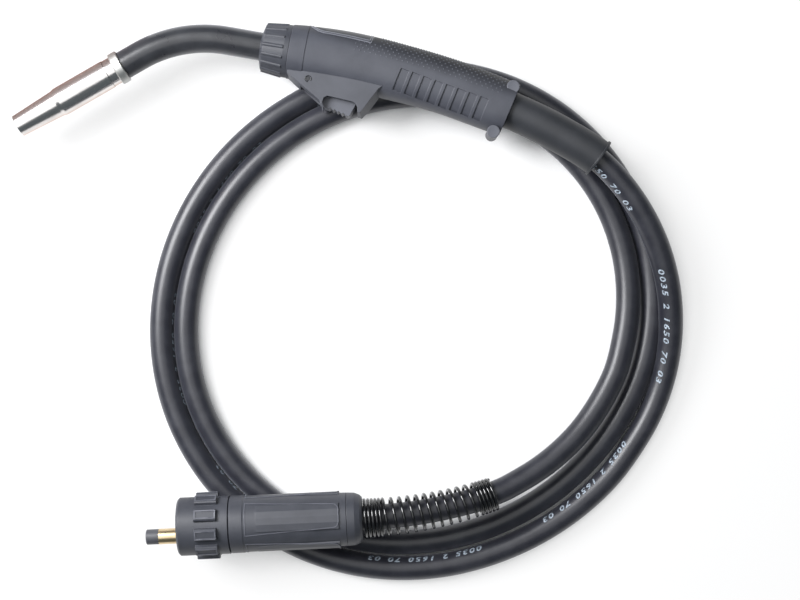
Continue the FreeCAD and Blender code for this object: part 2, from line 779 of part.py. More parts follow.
SWITCH_FOOT = Vector(22.0, -1.0, 0)
PLUNGER_FOOT = Vector(22.0, -9.55, 0)
PLUNGER_HOLD = 3.0
switch_middle = pivot_place.Base + SWITCH_FOOT
switch_well = Part.makeCylinder(size("plunger_radius + slide_fit"), size("plunger_travel") + PLUNGER_HOLD + 1,
                                switch_middle - Vector(0, 0.5, 0), Vector(0, 1, 0))
switch_block = Part.makeBox(size("switch_length"), size("switch_height"), 2 * size("switch_half_width"),
                            switch_middle - Vector(size("switch_length / 2"), 0, size("switch_half_width")))
keep_shape("switch_body", switch_block.cut(switch_well))
plunger = doc.addObject("Part::Cylinder", "switch_plunger")
plunger.setExpression("Radius", bound("plunger_radius"))
plunger.Height = (SWITCH_FOOT - PLUNGER_FOOT).Length + PLUNGER_HOLD
keep("switch_plunger", plunger, Placement(pivot_place.Base + PLUNGER_FOOT, Rotation(AHEAD, -90)))


# Inside the handle: neck block, conduit, crimp and control wires

turned("neck_block", [
    ("tube_in_handle - 8", "neck_tube_radius + slide_fit"),
    ("tube_in_handle", "neck_tube_radius + slide_fit"),
    ("tube_in_handle", "neck_bore"),
    ("tube_in_handle + block_length - 8", "neck_bore"),
    ("tube_in_handle + block_length - 8", "block_radius - 2"),
    ("tube_in_handle + block_length - 10", "block_radius"),
    ("tube_in_handle - 8", "block_radius"),
], nut_place)

exit_point = rear_middle
exit_way = heading(rear_turn)
CABLE_INSIDE = 20.0
cable_start = exit_point - exit_way * CABLE_INSIDE
conduit_start = nut_place.multVec(Vector(size("tube_in_handle + block_length - 8"), 0, 0))
conduit_route = [
    conduit_start,
    conduit_start + neck_back * 16,
    bench(14.0, 180.0, torch_height),
    cable_start - exit_way * 30,
    cable_start - exit_way * 0.2,
]
keep_shape("cable_conduit", pipe(rounded_route(conduit_route), size("conduit_radius")))

WIRE_SIDE = 9.5
wire_routes = []
for side in (-1, 1):
    height = UP * (2.5 * side)
    wire_routes.append([
        switch_middle + Vector(size("switch_length / 2"), 4.0, 0) + height,
        switch_middle + Vector(28, 2.0, 0) + height,
        bench(0.6, 183.0 - WIRE_SIDE, torch_height) + height,
        bench(30.4, 174.7 - WIRE_SIDE, torch_height) + height,
        bench(52.0, 167.5 - WIRE_SIDE, torch_height) + height,
    ])
keep_shape("switch_leads", Part.Compound(
    [pipe(rounded_route(route), size("lead_wire_radius")) for route in wire_routes]))

exit_place = Placement(exit_point, Rotation(UP, rear_turn))
crimp_end = str(-CABLE_INSIDE) + " + 7.5"
turned("cable_crimp_front", [
    (str(-CABLE_INSIDE) + " - 12", "conduit_radius + slide_fit"),
    (str(-CABLE_INSIDE) + " - 0.2", "conduit_radius + slide_fit"),
    (str(-CABLE_INSIDE) + " - 0.2", "cable_diameter / 2 + slide_fit"),
    (crimp_end, "cable_diameter / 2 + slide_fit"),
    (crimp_end, "cable_diameter / 2 + crimp_wall"),
    (str(-CABLE_INSIDE) + " - 2", "cable_diameter / 2 + crimp_wall"),
    (str(-CABLE_INSIDE) + " - 12", "conduit_radius + crimp_wall"),
], exit_place)


# Coil of the cable on the floor

COIL_CENTRE = Vector(14.1, -20.7, 0)
QUARTER_TURNS = 8


def coil_point(degrees):
    """Bench point of the coil's centre line, clockwise seen from above."""
    angle = math.radians(degrees)
    radius = (size("coil_radius") - size("coil_step") * degrees / 360
              - size("coil_cos") * math.cos(angle) - size("coil_sin") * math.sin(angle)
              + size("coil_cos_twice") * math.cos(2 * angle) - size("coil_sin_twice") * math.sin(2 * angle))
    climb = max(0.0, 1 - (size("coil_end") - degrees) / size("coil_lift_angle"))
    return COIL_CENTRE + Vector(radius * math.cos(angle), -radius * math.sin(angle),
                                cable_floor_height + size("coil_lift") * climb ** 3)


coil_nodes = [size("coil_start") + (size("coil_end") - size("coil_start")) * step / QUARTER_TURNS
              for step in range(QUARTER_TURNS + 1)]
coil_edges = smooth_turns(lambda degrees: coil_point(degrees) - bench_zero, coil_nodes, size("cable_diameter"))
floor_block = Part.makeBox(900, 900, 20, bench(-450, -450, -20))
keep_shape("cable_coil", pipe(coil_edges, cable_radius).cut(floor_block))
coil_first = coil_edges[0].valueAt(coil_edges[0].FirstParameter)
coil_first_way = coil_edges[0].tangentAt(coil_edges[0].FirstParameter)
coil_last = coil_edges[-1].valueAt(coil_edges[-1].LastParameter)
coil_last_way = coil_edges[-1].tangentAt(coil_edges[-1].LastParameter)
print("least gap of cable_coil to itself %.2f mm" % least_gap(coil_edges, 2 * cable_radius, 300))


# Cable from the handle down to the coil

lead_route = [
    cable_start,
    exit_point + exit_way * 25,
    bench(156.0, 119.0, 38.4),
    bench(189.5, 90.5, 36.0),
    bench(211.5, 53.5, 31.0),
    bench(223.5, 14.5, 24.5),
    bench(227.0, -22.5, 17.6),
    bench(223.3, -57.5, 12.2),
    bench(212.8, -89.5, 9.9),
    coil_first - coil_first_way * 25,
    coil_first,
]
lead_radii = []
lead_edges = rounded_route(lead_route, lead_radii)
print("radii of cable_lead", ["%.0f" % radius for radius in lead_radii])
keep_shape("cable_lead", pipe(lead_edges, cable_radius))

boot_start = CABLE_INSIDE + size("end_gap")
boot_line = along_edges(lead_edges, boot_start, boot_start + size("boot_length"))
spigot_line = along_edges(lead_edges, boot_start - size("boot_spigot_length"), boot_start)
rim_line = along_edges(lead_edges, boot_start + size("boot_length - boot_rim_length"),
                       boot_start + size("boot_length"))
boot_bore = along_edges(lead_edges, boot_start - size("boot_spigot_length"),
                        boot_start + size("boot_length"))
boot = pipe(boot_line, size("boot_radius")).fuse([
    pipe(spigot_line, size("boot_spigot_radius")), pipe(rim_line, size("boot_rim_radius"))])
keep_shape("cable_boot", boot.cut(pipe(boot_bore, cable_radius + size("free_fit"))))


# Plug

PLUG_FRONT = Vector(-177.9, -182.7, plug_height)
PLUG_HEADING = 2.6
plug_place = Placement(PLUG_FRONT - bench_zero, Rotation(UP, PLUG_HEADING))

shoulder_end = "(lock_mouth_depth + lock_shoulder_length)"
lock_nut = turned("lock_nut", [
    ("0", "lock_mouth_bore"),
    ("lock_mouth_depth", "lock_mouth_bore"),
    ("lock_mouth_depth", "lock_shoulder_bore"),
    (shoulder_end, "lock_shoulder_bore"),
    (shoulder_end, "lock_rear_bore"),
    ("lock_length", "lock_rear_bore"),
    ("lock_length", "lock_radius"),
    ("1.5", "lock_radius"),
    ("0", "lock_radius - 1.5"),
], plug_place)
PAD_TURN = 9.0
pad_sketch = flat_sketch(lock_nut, "pad", "YZ_Plane", Placement(
    Vector(0, 0, size("lock_pad_start")), Rotation(UP, PAD_TURN)))
pad_sketch.setExpression("AttachmentOffset.Base.z", bound("lock_pad_start"))
closed_outline(pad_sketch, [
    ("-lock_pad_width / 2", "lock_radius - 1.5"), ("lock_pad_width / 2", "lock_radius - 1.5"),
    ("lock_pad_width / 2", "lock_pad_radius - 1"), ("lock_pad_width / 2 - 1", "lock_pad_radius"),
    ("1 - lock_pad_width / 2", "lock_pad_radius"), ("-lock_pad_width / 2", "lock_pad_radius - 1"),
])
ring_of(lock_nut, "Pad", "pads", pad_sketch, "lock_pad_length", "lock_pad_count")

housing_start = "(lock_length + end_gap)"
housing_end = "(lock_length + end_gap + housing_length)"
housing = turned("plug_housing", [
    (housing_start, "housing_bore"),
    (housing_end + " - housing_wall", "housing_bore"),
    (housing_end + " - housing_wall", "cable_diameter / 2 + free_fit"),
    (housing_end, "cable_diameter / 2 + free_fit"),
    (housing_end, "housing_rear_radius"),
    (housing_start + " + housing_step + 1", "housing_front_radius - 0.4"),
    (housing_start + " + housing_step", "housing_front_radius"),
    (housing_start + " + 1", "housing_front_radius"),
    (housing_start, "housing_front_radius - 1"),
], plug_place)


def panel_corner(share, radius):
    """Corner of a panel's section at a share of its half width, on a circle round the plug."""
    across = "(%s) * panel_width / 2" % share
    return across, "sqrt(%s^2 - (%s)^2)" % (radius, across)


PANEL_SHARES = (-1, -0.5, 0, 0.5, 1)
panel_place = "lock_length + end_gap + panel_start"
panel_sketch = flat_sketch(housing, "panel", "YZ_Plane", Placement(
    Vector(0, 0, size(panel_place)), Rotation(UP, size("panel_turn"))))
panel_sketch.setExpression("AttachmentOffset.Base.z", bound(panel_place))
closed_outline(panel_sketch, [panel_corner(share, "(housing_bore + 1.5)") for share in PANEL_SHARES]
               + [panel_corner(share, "(housing_rear_radius + panel_height)") for share in PANEL_SHARES[::-1]])
ring_of(housing, "Pad", "panels", panel_sketch, "panel_length", "panel_count")

cap_start = housing_end + " + end_gap"
cap_end = housing_end + " + end_gap + rear_cap_length"
turned("plug_rear_cap", [
    (cap_start, "cable_diameter / 2 + free_fit"),
    (cap_end, "cable_diameter / 2 + free_fit"),
    (cap_end, "rear_cap_end_radius - 2"),
    (cap_end + " - 2", "rear_cap_end_radius"),
    (cap_end + " - rear_cap_length / 2", "housing_rear_radius - 0.4"),
    (cap_start, "housing_rear_radius"),
], plug_place)

face = turned("plug_face", [
    ("face_start", "0"),
    ("face_end", "0"),
    ("face_end", "face_radius"),
    (shoulder_end + " + end_gap + face_flange_length", "face_radius"),
    (shoulder_end + " + end_gap + face_flange_length", "face_flange_radius"),
    (shoulder_end + " + end_gap", "face_flange_radius"),
    (shoulder_end + " + end_gap", "face_radius"),
    ("face_start", "face_radius"),
], plug_place)


def face_hole(name, across, above, radius):
    """Hole through the insulating face, along the plug."""
    sketch = flat_sketch(face, name, "YZ_Plane", Placement(Vector(
        size(across), size(above), size("face_start")), Rotation()))
    sketch.setExpression("AttachmentOffset.Base.x", bound(across))
    sketch.setExpression("AttachmentOffset.Base.y", bound(above))
    sketch.setExpression("AttachmentOffset.Base.z", bound("face_start"))
    round_outline(sketch, radius)
    doc.recompute()
    cut = face.newObject("PartDesign::Pocket", name + "_cut")
    cut.Profile = sketch
    cut.setExpression("Length", bound("face_end - face_start"))
    cut.Reversed = True
    doc.recompute()


face_hole("pin_hole", "-pin_offset", "0", "pin_root_radius + slide_fit")
face_hole("contact_hole_a", "contact_side", "contact_side", "barrel_radius + slide_fit")
face_hole("contact_hole_b", "contact_side", "-contact_side", "barrel_radius + slide_fit")

pin_place = plug_place * Placement(Vector(0, -size("pin_offset"), 0), Rotation())
nose_end = "(pin_nose_length - pin_reach)"
groove_middle = "(pin_nose_length / 2 - pin_reach)"
turned("plug_pin", [
    ("-pin_reach", "pin_bore"),
    ("face_end", "pin_bore"),
    ("face_end", "pin_root_radius"),
    ("face_start", "pin_root_radius"),
    ("face_start", "pin_radius"),
    (nose_end, "pin_radius"),
    (nose_end, "pin_nose_radius"),
    (groove_middle + " + ring_section", "pin_nose_radius"),
    (groove_middle + " + ring_section", "pin_nose_radius - ring_section"),
    (groove_middle + " - ring_section", "pin_nose_radius - ring_section"),
    (groove_middle + " - ring_section", "pin_nose_radius"),
    ("-pin_reach + 0.8", "pin_nose_radius"),
    ("-pin_reach", "pin_nose_radius - 0.8"),
], pin_place)

turned("pin_o_ring", tube_corners(
    groove_middle + " - ring_section + slide_fit", groove_middle + " + ring_section - slide_fit",
    "pin_nose_radius", "pin_nose_radius - ring_section + slide_fit"), pin_place)

turned("pin_cap", [
    ("-pin_reach - 1", "0"),
    ("-pin_reach - 0.05", "0"),
    ("-pin_reach - 0.05", "pin_nose_radius + slide_fit"),
    (nose_end + " - 0.05", "pin_nose_radius + slide_fit"),
    (nose_end + " - 0.05", "pin_radius - pin_cap_step"),
    ("-pin_reach - 0.3", "pin_radius - pin_cap_step"),
    ("-pin_reach - 1", "pin_radius - pin_cap_step - 0.7"),
], pin_place)

for label, side in (("a", 1), ("b", -1)):
    spot = plug_place * Placement(Vector(0, size("contact_side"), side * size("contact_side")), Rotation())
    turned("contact_barrel_" + label, [
        ("face_start - 2", "contact_radius + slide_fit"),
        ("face_end - 2", "contact_radius + slide_fit"),
        ("face_end - 2", "0"),
        ("face_end", "0"),
        ("face_end", "barrel_radius"),
        ("face_start - 2", "barrel_radius"),
    ], spot)
    turned("contact_pin_" + label, [
        ("contact_tip_place", "0"),
        ("face_end - 2 - contact_stroke - end_gap", "0"),
        ("face_end - 2 - contact_stroke - end_gap", "contact_radius"),
        ("contact_tip_place + 1", "contact_radius"),
        ("contact_tip_place", "contact_radius - 0.7"),
    ], spot)

turned("plug_body", [
    ("face_end", "0"),
    ("plug_cable_end - 0.2", "0"),
    ("plug_cable_end - 0.2", "body_neck_radius"),
    ("face_end + 26", "body_neck_radius"),
    ("face_end + 18", "housing_bore - free_fit"),
    ("face_end", "housing_bore - free_fit"),
], plug_place)

turned("cable_crimp_rear", [
    ("plug_cable_end - 14", "body_neck_radius + slide_fit"),
    ("plug_cable_end", "body_neck_radius + slide_fit"),
    ("plug_cable_end", "cable_diameter / 2 + slide_fit"),
    ("plug_cable_end + 10", "cable_diameter / 2 + slide_fit"),
    ("plug_cable_end + 10", "cable_diameter / 2 + crimp_wall"),
    ("plug_cable_end - 6", "cable_diameter / 2 + crimp_wall"),
    ("plug_cable_end - 14", "body_neck_radius + crimp_wall"),
], plug_place)


# Bend spring over the cable, on an arc that leaves the plug's rear cap

SPRING_SIDE = Vector(0, 0.885, -0.466).normalize()
spring_start = size(cap_end + " + end_gap + spring_wire / 2")
spring_arc = math.radians(size("spring_bend"))
spring_radius = size("spring_length") / spring_arc
spring_across = AHEAD.cross(SPRING_SIDE)


def spring_axis(share):
    """Point of the spring's middle line in the plug's frame, with its outward side."""
    angle = spring_arc * share
    point = Vector(spring_start, 0, 0) + AHEAD * (spring_radius * math.sin(angle)) + SPRING_SIDE * (
        spring_radius * (1 - math.cos(angle)))
    side = SPRING_SIDE * math.cos(angle) - AHEAD * math.sin(angle)
    return point, side


closed_turns = size("spring_closed_turns")
open_turns = size("spring_open_turns")
closed_length = closed_turns * size("spring_closed_pitch")
open_pitch = (size("spring_length") - 2 * closed_length) / open_turns
all_turns = 2 * closed_turns + open_turns


def spring_along(turn):
    """Length along the spring at a turn: closed ends, open middle."""
    opened = min(max(turn - closed_turns, 0.0), open_turns)
    return (turn - opened) * size("spring_closed_pitch") + opened * open_pitch


def spring_point(turn):
    """Row point of the spring wire's centre at a turn."""
    share = spring_along(turn) / size("spring_length")
    point, side = spring_axis(share)
    diameter = size("spring_front_diameter") + share * size("spring_rear_diameter - spring_front_diameter")
    radius = (diameter - size("spring_wire")) / 2
    angle = 2 * math.pi * turn
    return plug_place.multVec(point + side * (radius * math.cos(angle)) + spring_across * (
        radius * math.sin(angle)))


spring_nodes = [step / 4 for step in range(int(4 * all_turns) + 1)]
spring_edges = smooth_turns(spring_point, spring_nodes, size("spring_wire"))
keep_shape("bend_spring", pipe(spring_edges, size("spring_wire / 2")))
print("least gap of bend_spring to itself %.2f mm" % least_gap(spring_edges, size("spring_wire"), 40))


# Cable from the coil up to the plug, through the spring

spring_tangent = spring_radius * math.tan(spring_arc / 4)
spring_last, spring_last_side = spring_axis(1.0)
spring_last_way = AHEAD * math.cos(spring_arc) + SPRING_SIDE * math.sin(spring_arc)
tail_route = [
    coil_last,
    coil_last + coil_last_way * 24,
    bench(151.5, -115.0, 27.0),
    bench(131.5, -134.0, 29.3),
    bench(106.5, -147.5, 31.7),
    plug_place.multVec(spring_last + spring_last_way * 4),
    plug_place.multVec(spring_last - spring_last_way * spring_tangent),
    plug_place.multVec(Vector(spring_start + spring_tangent, 0, 0)),
    plug_place.multVec(Vector(size("plug_cable_end"), 0, 0)),
]
tail_radii = []
tail_edges = rounded_route(tail_route, tail_radii)
print("radii of cable_tail", ["%.0f" % radius for radius in tail_radii])
keep_shape("cable_tail", pipe(tail_edges, cable_radius))

lengths = [sum(edge.Length for edge in edges) for edges in (lead_edges, coil_edges, tail_edges)]
print("cable lengths: lead %.1f, coil %.1f, tail %.1f, all %.1f mm" % (*lengths, sum(lengths)))
print("row origin on the bench %.3f, %.3f, %.3f mm" % tuple(bench_zero))


# Check and write

doc.recompute()
for item in doc.Objects:
    if "Invalid" in item.State or "Error" in item.State:
        raise ValueError("%s is in state %s" % (item.Label, item.State))
os.makedirs("parts", exist_ok=True)
for label, part in parts.items():
    shape = part.Shape
    if shape.isNull() or not shape.isValid():
        raise ValueError("%s has no valid shape" % label)
for label, part in parts.items():
    part.Shape.exportStep("parts/%s.step" % label)
print("%d sub-parts" % len(parts))
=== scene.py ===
import json
import logging
import math
from dataclasses import dataclass, field
from enum import Enum
from functools import cache, partial
from typing import Any, Callable, Iterable, Sequence

import bmesh
import bpy
from mathutils import Matrix, Vector
from mathutils.bvhtree import BVHTree

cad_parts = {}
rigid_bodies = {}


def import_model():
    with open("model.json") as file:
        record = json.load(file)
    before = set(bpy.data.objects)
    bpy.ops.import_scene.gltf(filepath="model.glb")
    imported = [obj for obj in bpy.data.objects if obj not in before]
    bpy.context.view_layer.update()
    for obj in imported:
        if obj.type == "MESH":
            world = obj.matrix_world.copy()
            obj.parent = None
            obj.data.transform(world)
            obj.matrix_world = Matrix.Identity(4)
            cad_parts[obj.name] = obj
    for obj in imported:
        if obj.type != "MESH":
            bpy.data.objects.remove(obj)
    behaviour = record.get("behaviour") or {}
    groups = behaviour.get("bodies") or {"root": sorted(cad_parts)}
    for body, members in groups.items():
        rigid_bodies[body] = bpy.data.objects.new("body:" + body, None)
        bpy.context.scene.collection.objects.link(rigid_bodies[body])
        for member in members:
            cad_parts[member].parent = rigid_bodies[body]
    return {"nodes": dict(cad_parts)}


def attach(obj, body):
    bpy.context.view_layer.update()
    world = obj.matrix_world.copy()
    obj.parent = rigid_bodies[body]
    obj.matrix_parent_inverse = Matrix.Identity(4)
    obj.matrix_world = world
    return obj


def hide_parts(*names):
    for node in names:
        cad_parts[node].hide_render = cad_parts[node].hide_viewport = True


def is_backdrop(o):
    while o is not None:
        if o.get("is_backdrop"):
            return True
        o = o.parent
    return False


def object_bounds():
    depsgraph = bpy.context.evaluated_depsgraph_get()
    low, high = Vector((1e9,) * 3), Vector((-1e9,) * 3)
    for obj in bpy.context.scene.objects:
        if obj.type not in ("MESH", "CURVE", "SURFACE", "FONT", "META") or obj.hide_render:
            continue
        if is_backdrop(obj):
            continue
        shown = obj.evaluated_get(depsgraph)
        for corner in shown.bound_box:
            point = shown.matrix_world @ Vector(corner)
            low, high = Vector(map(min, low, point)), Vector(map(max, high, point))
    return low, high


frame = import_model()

log = logging.getLogger("torch")

Piece = bpy.types.Object
Socket = bpy.types.NodeSocket
# A point with a direction
Ray = tuple[Vector, Vector]
Points = tuple[tuple[float, float, float], ...]

MM = 0.001
# Height of the torch's middle line above the floor, and the bench point where the part's origin is
MIDDLE_HEIGHT = 38.6
BENCH_ZERO = Vector((-303.411, 143.589, MIDDLE_HEIGHT))
# How far from a middle line a ray starts that lays a detail on the part, in millimetres
RAY_START = 60.0
# Width of one band of a wave node at a scale of 1
WAVE_BAND = 0.314
# Edges flatter than this are shaded smooth
SMOOTH_BELOW = math.radians(35)


# Places

def bench(x: float, y: float, z: float) -> Vector:
    """Give the part's point, in metres, at millimetres right of and up from the bench's middle."""
    return (Vector((x, y, z)) - BENCH_ZERO) * MM


def heading(degrees: float) -> Vector:
    """Give the level unit vector turned from +X towards +Y by an angle."""
    return Vector((math.cos(math.radians(degrees)), math.sin(math.radians(degrees)), 0.0))


@dataclass(frozen=True)
class Axis:
    """A line that a round sub-assembly is built along, with a frame of its own."""

    start: Vector
    turn: float

    def matrix(self) -> Matrix:
        """Give the matrix from the axis's own frame, in millimetres, to the part's."""
        turned = Matrix.Rotation(math.radians(self.turn), 4, "Z")
        return Matrix.Translation(self.start) @ turned @ Matrix.Scale(MM, 4)

    def at(self, along: float, across: float = 0.0, above: float = 0.0) -> Vector:
        """Give the part's point at millimetres along the axis, to its left and above it."""
        return self.matrix() @ Vector((along, across, above))


# The middle lines of the nozzle and of the plug, and the heading of the neck's rear end
HEAD = Axis(heading(30.0) * (-6.0 * MM), 30.0)
PLUG = Axis(bench(-177.9, -182.7, 42.6), 2.6)
NECK_TURN = -10.0
# Bench x, y and heading where the cable leaves the handle
EXIT = (88.6, 153.6, -23.0)
HANDLE_EXIT = bench(EXIT[0], EXIT[1], MIDDLE_HEIGHT)


# Materials

def linear(code: str) -> tuple[float, float, float, float]:
    """Turn an sRGB hex colour into the linear values that shaders take.

    Args:
        code: Colour such as "#24272b".

    Returns:
        Linear red, green and blue with an alpha of 1.
    """
    shares = [int(code[place:place + 2], 16) / 255 for place in (1, 3, 5)]
    bent = [share / 12.92 if share <= 0.04045 else ((share + 0.055) / 1.055) ** 2.4 for share in shares]
    return bent[0], bent[1], bent[2], 1.0


class Canvas:
    """A new material with one Principled shader, to which nodes are added."""

    def __init__(self, name: str, settings: dict[str, Any]) -> None:
        """Make the material.

        Args:
            name: The material's name.
            settings: Values for the shader's own sockets.
        """
        self.material = bpy.data.materials.new(name)
        self.material.use_nodes = True
        self.tree = self.material.node_tree
        self.shader = self.tree.nodes["Principled BSDF"]
        for key, value in settings.items():
            self.shader.inputs[key].default_value = value

    def add(self, kind: str, settings: dict[str | int, Any] | None = None,
            links: dict[str | int, Socket] | None = None,
            stops: Sequence[tuple[float, str]] = ()) -> bpy.types.Node:
        """Add a node with its settings and its incoming links.

        Args:
            kind: The node's type, without its ShaderNode prefix.
            settings: Values by the name of an attribute, or by the name or number of an input.
            links: Outgoing sockets of other nodes by the name or number of the input they feed.
            stops: A colour ramp's places with their sRGB hex colours.

        Returns:
            The new node.
        """
        made = self.tree.nodes.new("ShaderNode" + kind)
        for name, value in (settings or {}).items():
            if hasattr(made, str(name)):
                setattr(made, name, value)
            else:
                made.inputs[name].default_value = value
        for name, source in (links or {}).items():
            self.tree.links.new(source, made.inputs[name])
        if stops:
            for point, (place, code) in zip(made.color_ramp.elements, stops):
                point.position = place
                point.color = linear(code)
        return made

    def feed(self, name: str, source: Socket) -> None:
        """Link a node's output to one of the shader's inputs."""
        self.tree.links.new(source, self.shader.inputs[name])


@dataclass(frozen=True)
class Surface:
    """What every finish has: a tone that turns to a second one in patches, and a roughness."""

    name: str
    tone: str
    second: str
    roughness: float

    def patches(self, canvas: Canvas, place: Socket, noise: dict[str, float], stops: tuple[float, float],
                shine: tuple[float, float] | None = None) -> tuple[Socket, Socket]:
        """Spread the two tones over a cloudy pattern, and the roughness too where it varies.

        Args:
            canvas: The material.
            place: The pattern's coordinates.
            noise: The pattern's settings.
            stops: Where on the pattern the first tone ends and the second one begins.
            shine: Lowest and highest roughness, where it follows the pattern.

        Returns:
            The colour, and the pattern from 0 to 1.
        """
        clouds = canvas.add("TexNoise", noise, {"Vector": place}).outputs["Fac"]
        tones = list(zip(stops, (self.tone, self.second)))
        colour = canvas.add("ValToRGB", links={"Fac": clouds}, stops=tones).outputs["Color"]
        canvas.feed("Base Color", colour)
        if shine:
            spread = canvas.add("MapRange", {"To Min": shine[0], "To Max": shine[1]}, {"Value": clouds})
            canvas.feed("Roughness", spread.outputs["Result"])
        return colour, clouds


@dataclass(frozen=True)
class MouldedPlastic(Surface):
    """Glass-filled nylon, injection moulded in a spark-eroded tool.

    To the eye: a dull blue-grey skin with a fine even grain and a little
    cloudiness, rubbed paler along its soft edges, where hands hold it.
    """

    edge_mm: float = 0.6
    grain_mm: float = 1.1
    grain_height_mm: float = 0.03
    cloud_mm: float = 22.0

    def shaded(self, canvas: Canvas, place: Socket, tone: Socket) -> Socket:
        """Give the tone with the painted shade that a kind of this plastic adds to it, here none."""
        return tone

    def build(self) -> bpy.types.Material:
        """Make the material.

        The grain is drawn about twice as coarse as the real one, which no pixel would show.

        Returns:
            The material.
        """
        canvas = Canvas(self.name, {"IOR": 1.53})
        place = canvas.add("TexCoord").outputs["Object"]
        clouds = {"Scale": 1 / (self.cloud_mm * MM), "Detail": 5.0, "Roughness": 0.6}
        shine = (self.roughness - 0.06, self.roughness + 0.08)
        tone, _ = self.patches(canvas, place, clouds, (0.3, 0.85), shine)
        edges = canvas.add("Bevel", {"samples": 6, "Radius": self.edge_mm * MM}).outputs["Normal"]
        flat = canvas.add("NewGeometry").outputs["Normal"]
        facing = canvas.add("VectorMath", {"operation": "DOT_PRODUCT"}, {0: edges, 1: flat})
        worn = canvas.add("MapRange", {"From Min": 0.99, "From Max": 0.8}, {"Value": facing.outputs["Value"]})
        rubbed = canvas.add("Mix", {"data_type": "RGBA", 7: linear(self.second)},
                            {0: worn.outputs["Result"], 6: tone})
        canvas.feed("Base Color", self.shaded(canvas, place, rubbed.outputs[2]))
        grain = canvas.add("TexNoise", {"Scale": 1 / (self.grain_mm * MM), "Detail": 2.0}, {"Vector": place})
        bumps = canvas.add("Bump", {"Strength": 0.5, "Distance": self.grain_height_mm * MM},
                           {"Height": grain.outputs["Fac"], "Normal": edges})
        canvas.feed("Normal", bumps.outputs["Normal"])
        return canvas.material


@dataclass(frozen=True)
class GrippedPlastic(MouldedPlastic):
    """The handle's nylon, with painted shade over its back.

    To the eye: the same skin, darkened by painted shade towards the
    back, where the grip dots are.
    """

    # Start, heading, fade-in width and darkest share of the painted shade over the handle's back
    shade_start: tuple[float, float] = (-39.3, 202.1)
    shade_turn: float = 72.5
    shade_mm: float = 13.0
    shade_share: float = 0.22

    def shaded(self, canvas: Canvas, place: Socket, tone: Socket) -> Socket:
        """Paint shade on the tone behind a line along the handle.

        Args:
            canvas: The material.
            place: The object coordinates.
            tone: The colour of the plain plastic.

        Returns:
            The colour with its painted shade.
        """
        start = bench(*self.shade_start, MIDDLE_HEIGHT)
        from_line = canvas.add("VectorMath", {"operation": "SUBTRACT", 1: start}, {0: place})
        behind = canvas.add("VectorMath", {"operation": "DOT_PRODUCT", 1: heading(self.shade_turn)},
                            {0: from_line.outputs["Vector"]})
        share = canvas.add("MapRange", {"From Min": -1.0 * MM, "From Max": self.shade_mm * MM, "To Min": 1.0,
                                        "To Max": self.shade_share}, {"Value": behind.outputs["Value"]})
        # Painted shade: the tone is scaled down behind the line
        painted_shade = canvas.add("VectorMath", {"operation": "SCALE"}, {0: tone, "Scale": share.outputs["Result"]})
        return painted_shade.outputs["Vector"]


@dataclass(frozen=True)
class CableRubber(Surface):
    """Extruded synthetic rubber of the cable's sheath.

    To the eye: near black and satin, with talc-like dust that pales it at
    grazing angles, a cloudy bloom and small scuffs.
    """

    sheen: float
    scuff_mm: float = 16.0
    pore_mm: float = 1.2

    def build(self) -> bpy.types.Material:
        """Make the material.

        The pores are drawn coarser than the real ones, which no pixel would show.

        Returns:
            The material.
        """
        canvas = Canvas(self.name, {"IOR": 1.55, "Sheen Weight": self.sheen, "Sheen Roughness": 0.45,
                                    "Sheen Tint": linear("#c9ccd6")})
        place = canvas.add("TexCoord").outputs["Object"]
        scuffs = {"Scale": 1 / (self.scuff_mm * MM), "Detail": 8.0, "Roughness": 0.6}
        shine = (self.roughness - 0.05, self.roughness + 0.07)
        self.patches(canvas, place, scuffs, (0.4, 0.9), shine)
        pores = canvas.add("TexNoise", {"Scale": 1 / (self.pore_mm * MM), "Detail": 3.0}, {"Vector": place})
        bumps = canvas.add("Bump", {"Strength": 0.4, "Distance": 0.02 * MM}, {"Height": pores.outputs["Fac"]})
        canvas.feed("Normal", bumps.outputs["Normal"])
        return canvas.material


@dataclass(frozen=True)
class TurnedMetal(Surface):
    """Metal turned on a lathe or plated over a turned surface.

    To the eye: clear reflections drawn out by fine rings round the piece, with
    thin smears where hands have touched it.
    """

    axis_turn: float
    tint: str = "#ffffff"
    edge_mm: float = 0.3
    ring_mm: float = 0.8
    ring_height_mm: float = 0.004
    smear_mm: float = 14.0

    def build(self) -> bpy.types.Material:
        """Make the material.

        The rings are drawn coarser than real tool marks, which no pixel would show.

        Returns:
            The material.
        """
        canvas = Canvas(self.name, {"Metallic": 1.0, "Specular Tint": linear(self.tint)})
        place = canvas.add("TexCoord").outputs["Object"]
        smears = {"Scale": 1 / (self.smear_mm * MM), "Detail": 6.0, "Roughness": 0.6}
        self.patches(canvas, place, smears, (0.4, 0.8), (self.roughness * 0.8, self.roughness * 1.3))
        straight = canvas.add("Mapping", {"vector_type": "POINT",
                                          "Rotation": (0.0, 0.0, -math.radians(self.axis_turn))},
                              {"Vector": place})
        rings = canvas.add("TexWave", {"wave_type": "BANDS", "bands_direction": "X",
                                       "Scale": WAVE_BAND / (self.ring_mm * MM), "Distortion": 0.6,
                                       "Detail": 2.0, "Detail Scale": 1.0},
                           {"Vector": straight.outputs["Vector"]})
        edges = canvas.add("Bevel", {"samples": 6, "Radius": self.edge_mm * MM})
        bumps = canvas.add("Bump", {"Strength": 0.3, "Distance": self.ring_height_mm * MM},
                           {"Height": rings.outputs["Fac"], "Normal": edges.outputs["Normal"]})
        canvas.feed("Normal", bumps.outputs["Normal"])
        return canvas.material


